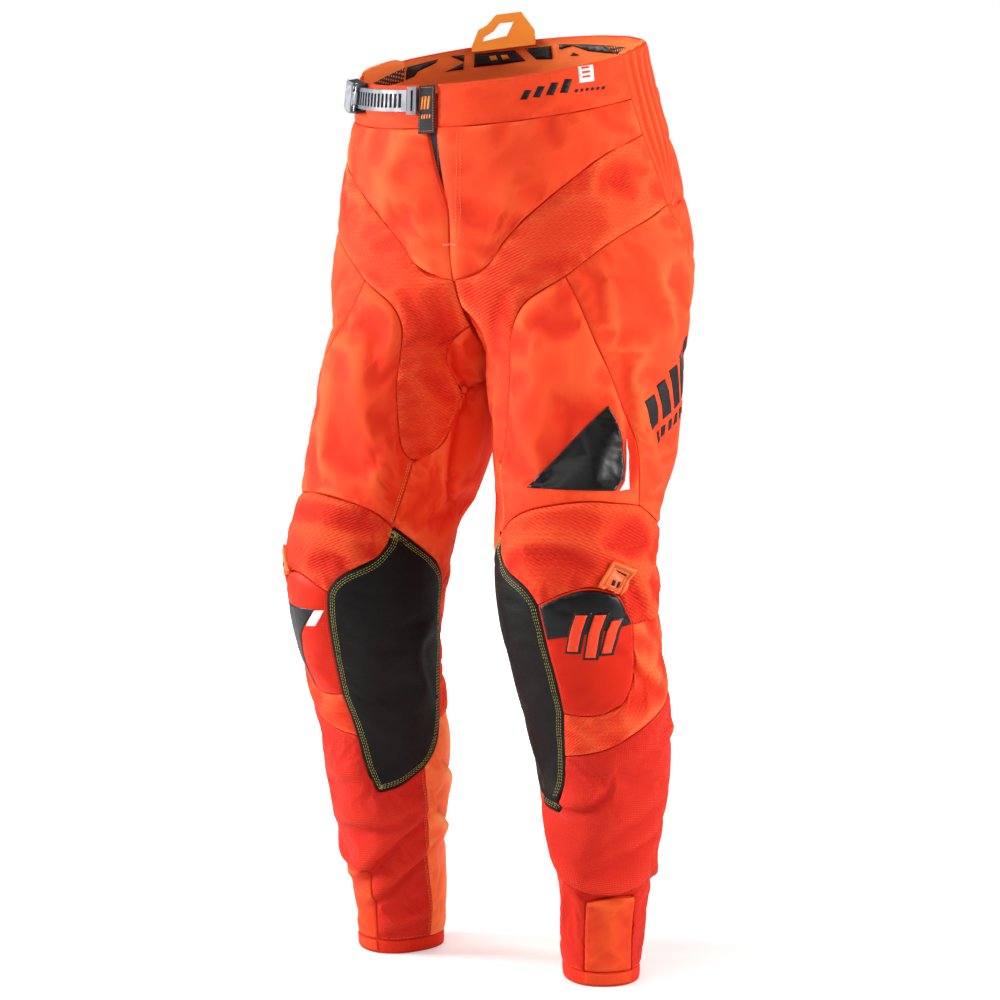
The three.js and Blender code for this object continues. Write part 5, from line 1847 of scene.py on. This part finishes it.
def rim_bars(outline, share):
    """The four mitred bars between an outline and the same outline drawn in."""
    inner = shrunk(outline, share)
    bars = []
    for k in range(len(outline)):
        following = (k + 1) % len(outline)
        bars.append([outline[k], outline[following], inner[following], inner[k]])
    return bars


def make_badge(side):
    """A moulded rubber badge: plate, raised rim, sunken field, slot and two small bars."""
    node = f"knee_badge_{side}"

    def add(part, shapes, finish, top, cell=2.0, under=SUNK):
        name = f"Badge_{part}_{side}"
        return print_shapes(name, shapes, leg_spots[side], finish, node, top, cell, under=under)

    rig.replaces(add("plate", [rounded(BADGE)], "badge", BADGE_PLATE, under=0.6), node)
    add("rim", rim_bars(BADGE, 0.8), "badge", BADGE_PLATE + 0.9)
    add("inner_rim", rim_bars(shrunk(BADGE, 0.66), 0.84), "badge", BADGE_PLATE + 0.5)
    slot = [(44.2, 436), (50.2, 431.5), (49.8, 429), (43.8, 433.5)]
    upper = [(41.5, 426), (43.2, 424.8), (42.6, 418.5), (40.9, 419.7)]
    lower = [(44.6, 424), (46.3, 422.8), (45.7, 416.5), (44, 417.7)]
    add("marks", [slot, upper, lower], "matt_black", BADGE_PLATE + 0.25, 1.5)


def strap_shade_bed():
    """A dark bed on the waistband under the strap, along the strap's own angles and heights: painted shade that
    darkens the strap's slots.
    """
    strap = frame["nodes"]["ladder_strap"]
    corners = [strap.matrix_world @ vert.co for vert in strap.data.vertices]
    places = np.array([waist_spots.angles(corner) for corner in corners])
    below = []
    above = []
    for station in np.linspace(places[:, 0].min() + 1, places[:, 0].max() - 0.5, 9):
        close = places[np.abs(places[:, 0] - station) < 2.5][:, 1]
        below.append((station, close.min() + 3))
        above.append((station, close.max() - 3))
    bed = below + above[::-1]
    print_shapes("Strap_bed", [bed], waist_spots, "matt_black", "waistband_front_right", 0.5, 4.0)


def sew_tab(node, inset):
    """The row round the edge of a tab of tape."""
    pile = Pile()
    sew_along(pile, sheets[node], [], inset, Chart(0, [faces_of[node]]), pitch=2.6, length=1.9, thick=0.5)
    pile.make("Stitches_" + node, "orange_thread", node, 0)


def print_patch():
    """Three bars over a row of four small ones, placed by the patch's own size."""
    sheet = sheets["patch_tab"]
    spots = Chart(0, [faces_of["patch_tab"]])
    places = np.array([spots.angles(Vector(point)) for point in sheet.points[sheet.loops[0]]])
    (left, foot), (right, head) = places.min(0), places.max(0)
    wide, tall = right - left, head - foot

    def bar(across, up, width, height, lean):
        return slanted_bar(left + wide * across, foot + tall * up, wide * width, tall * height, wide * lean)

    bars = [bar(0.2 + 0.19 * k, 0.5, 0.12, 0.27, 0.1) for k in range(3)]
    small = [bar(0.24 + 0.15 * k, 0.3, 0.08, 0.09, 0.03) for k in range(4)]
    print_shapes("Print_patch", bars + small, spots, "patch_print", "patch_tab", 0.3, 1.5)


# ---------------------------------------------------------------- everything on the cloth

sew_rows()
sew_fly()
print_thigh()
for side in SIDES:
    print_side(side)
    insert_foot(side)
print_left_cup()
print_right_cup()
print_waistband()
line_waistband()
strap_shade_bed()
sew_tab("patch_tab", 1.6)
sew_tab("fly_guard", 1.8)
print_patch()
for side in SIDES:
    make_badge(side)


# ---------------------------------------------------------------- hard parts

HARD = {
    "zip_chain": "teeth", "zip_slider": "steel", "zip_pull": "steel", "ladder_strap": "strap",
    "strap_end_frame": "frame", "buckle_base": "base", "buckle_lever": "lever", "buckle_pawl": "steel",
    "pawl_spring": "steel", "lever_pin": "steel", "pawl_pin": "steel", "hang_loop": "loop",
}
HARD_EDGE = 0.35 * MM
for node, finish in HARD.items():
    part = frame["nodes"][node]
    part.data.materials.clear()
    part.data.materials.append(FINISH[finish])
    bevel = part.modifiers.new("edges", "BEVEL")
    bevel.width = HARD_EDGE
    bevel.segments = 2
    bevel.limit_method = "ANGLE"


# ---------------------------------------------------------------- studio

WHITE = (1, 1, 1, 1)
AMBIENT = 0.21               # strength of the even light from all round
BACKDROP = 1.0               # how bright the backdrop looks
SUN = 1.1
FLOOR_REACH = 8
FLOOR_DROP = 0.5 * MM        # keeps the paper clear of the hems
# Each soft box: its place, its size in metres and its power.
BOXES = {
    "Left_box": ((-2.3, -1.0, 1.2), 0.9, 86),
    "Right_box": ((2.3, 0.4, 1.1), 0.9, 58),
    "Front_box": ((0.9, -2.6, 1.9), 1.2, 8),
    "Back_box": ((-0.8, 2.6, 1.2), 1.4, 30),
}
CAMERA = {"azimuth": 27.0, "elevation": 4.0, "distance": 2.05, "height": 0.488, "lens": 70.3}


def floor_paper():
    """Pale paper that looks evenly lit, so that it meets the backdrop without a line."""
    graph = Graph("Floor_paper")
    grain = graph.specks(300, 2)
    paper = graph.finish(Base_Color=(0.8, 0.8, 0.8, 1), Roughness=0.9, Normal=graph.bump(grain, 0.05 * MM))
    ray = graph.node("ShaderNodeLightPath", {})
    place = graph.node("ShaderNodeTexCoord", {}).outputs["Object"]
    away = graph.node("ShaderNodeVectorMath", {0: place}, operation="LENGTH").outputs["Value"]
    glow = graph.math("MULTIPLY", ray.outputs["Is Camera Ray"], graph.range(away, 0.4, 1.4, 0.25, 1.0))
    graph.feed(graph.shader.inputs["Emission Color"], WHITE)
    graph.feed(graph.shader.inputs["Emission Strength"], glow)
    return paper


def put(name, data, place=(0, 0, 0)):
    """A new object in the scene."""
    holder = bpy.data.objects.new(name, data)
    holder.location = place
    bpy.context.scene.collection.objects.link(holder)
    return holder


def face_towards(holder, direction):
    holder.rotation_euler = direction.to_track_quat("-Z", "Y").to_euler()


def set_camera(aim):
    turn = math.radians(CAMERA["azimuth"])
    rise = math.radians(CAMERA["elevation"])
    level = math.cos(rise)
    back = Vector((math.sin(turn) * level, -math.cos(turn) * level, math.sin(rise)))
    camera = put("Camera", bpy.data.cameras.new("Camera"), aim + back * CAMERA["distance"])
    camera.data.lens = CAMERA["lens"]
    face_towards(camera, -back)
    bpy.context.scene.camera = camera


def lay_floor():
    floor = bpy.data.meshes.new("Floor")
    corners = [(x * FLOOR_REACH, y * FLOOR_REACH, 0) for x, y in ((-1, -1), (1, -1), (1, 1), (-1, 1))]
    floor.from_pydata(corners, [], [(0, 1, 2, 3)])
    floor.materials.append(floor_paper())
    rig.stage(put("Floor", floor, (0, 0, -FLOOR_DROP)))


def set_backdrop():
    """Even light from all round, and a backdrop that looks white to the camera."""
    world = bpy.data.worlds.new("Studio")
    bpy.context.scene.world = world
    world.use_nodes = True
    tree = world.node_tree
    light = tree.nodes["Background"]
    seen = tree.nodes.new("ShaderNodeBackground")
    for shader, strength in ((light, AMBIENT), (seen, BACKDROP)):
        shader.inputs[0].default_value = WHITE
        shader.inputs[1].default_value = strength
    ray = tree.nodes.new("ShaderNodeLightPath")
    either = tree.nodes.new("ShaderNodeMixShader")
    tree.links.new(ray.outputs["Is Camera Ray"], either.inputs[0])
    tree.links.new(light.outputs[0], either.inputs[1])
    tree.links.new(seen.outputs[0], either.inputs[2])
    tree.links.new(either.outputs[0], tree.nodes["World Output"].inputs["Surface"])


def hang_lights(aim):
    sun = bpy.data.lights.new("Top_sun", "SUN")
    sun.energy = SUN
    sun.angle = math.radians(50)
    put("Top_sun", sun).rotation_euler = (math.radians(38), 0, math.radians(-20))
    for name, (place, size, power) in BOXES.items():
        lamp = bpy.data.lights.new(name, "AREA")
        lamp.size = size
        lamp.energy = power
        face_towards(put(name, lamp, place), aim - Vector(place))


bpy.context.scene.view_settings.view_transform = "Standard"
AIM = Vector((0, 0, CAMERA["height"]))
set_camera(AIM)
lay_floor()
set_backdrop()
hang_lights(AIM)

low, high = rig.bounds()
with open("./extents.json", "w") as size_file:
    json.dump({"cad": [list(cad_low), list(cad_high)], "visual": [list(low), list(high)]}, size_file)
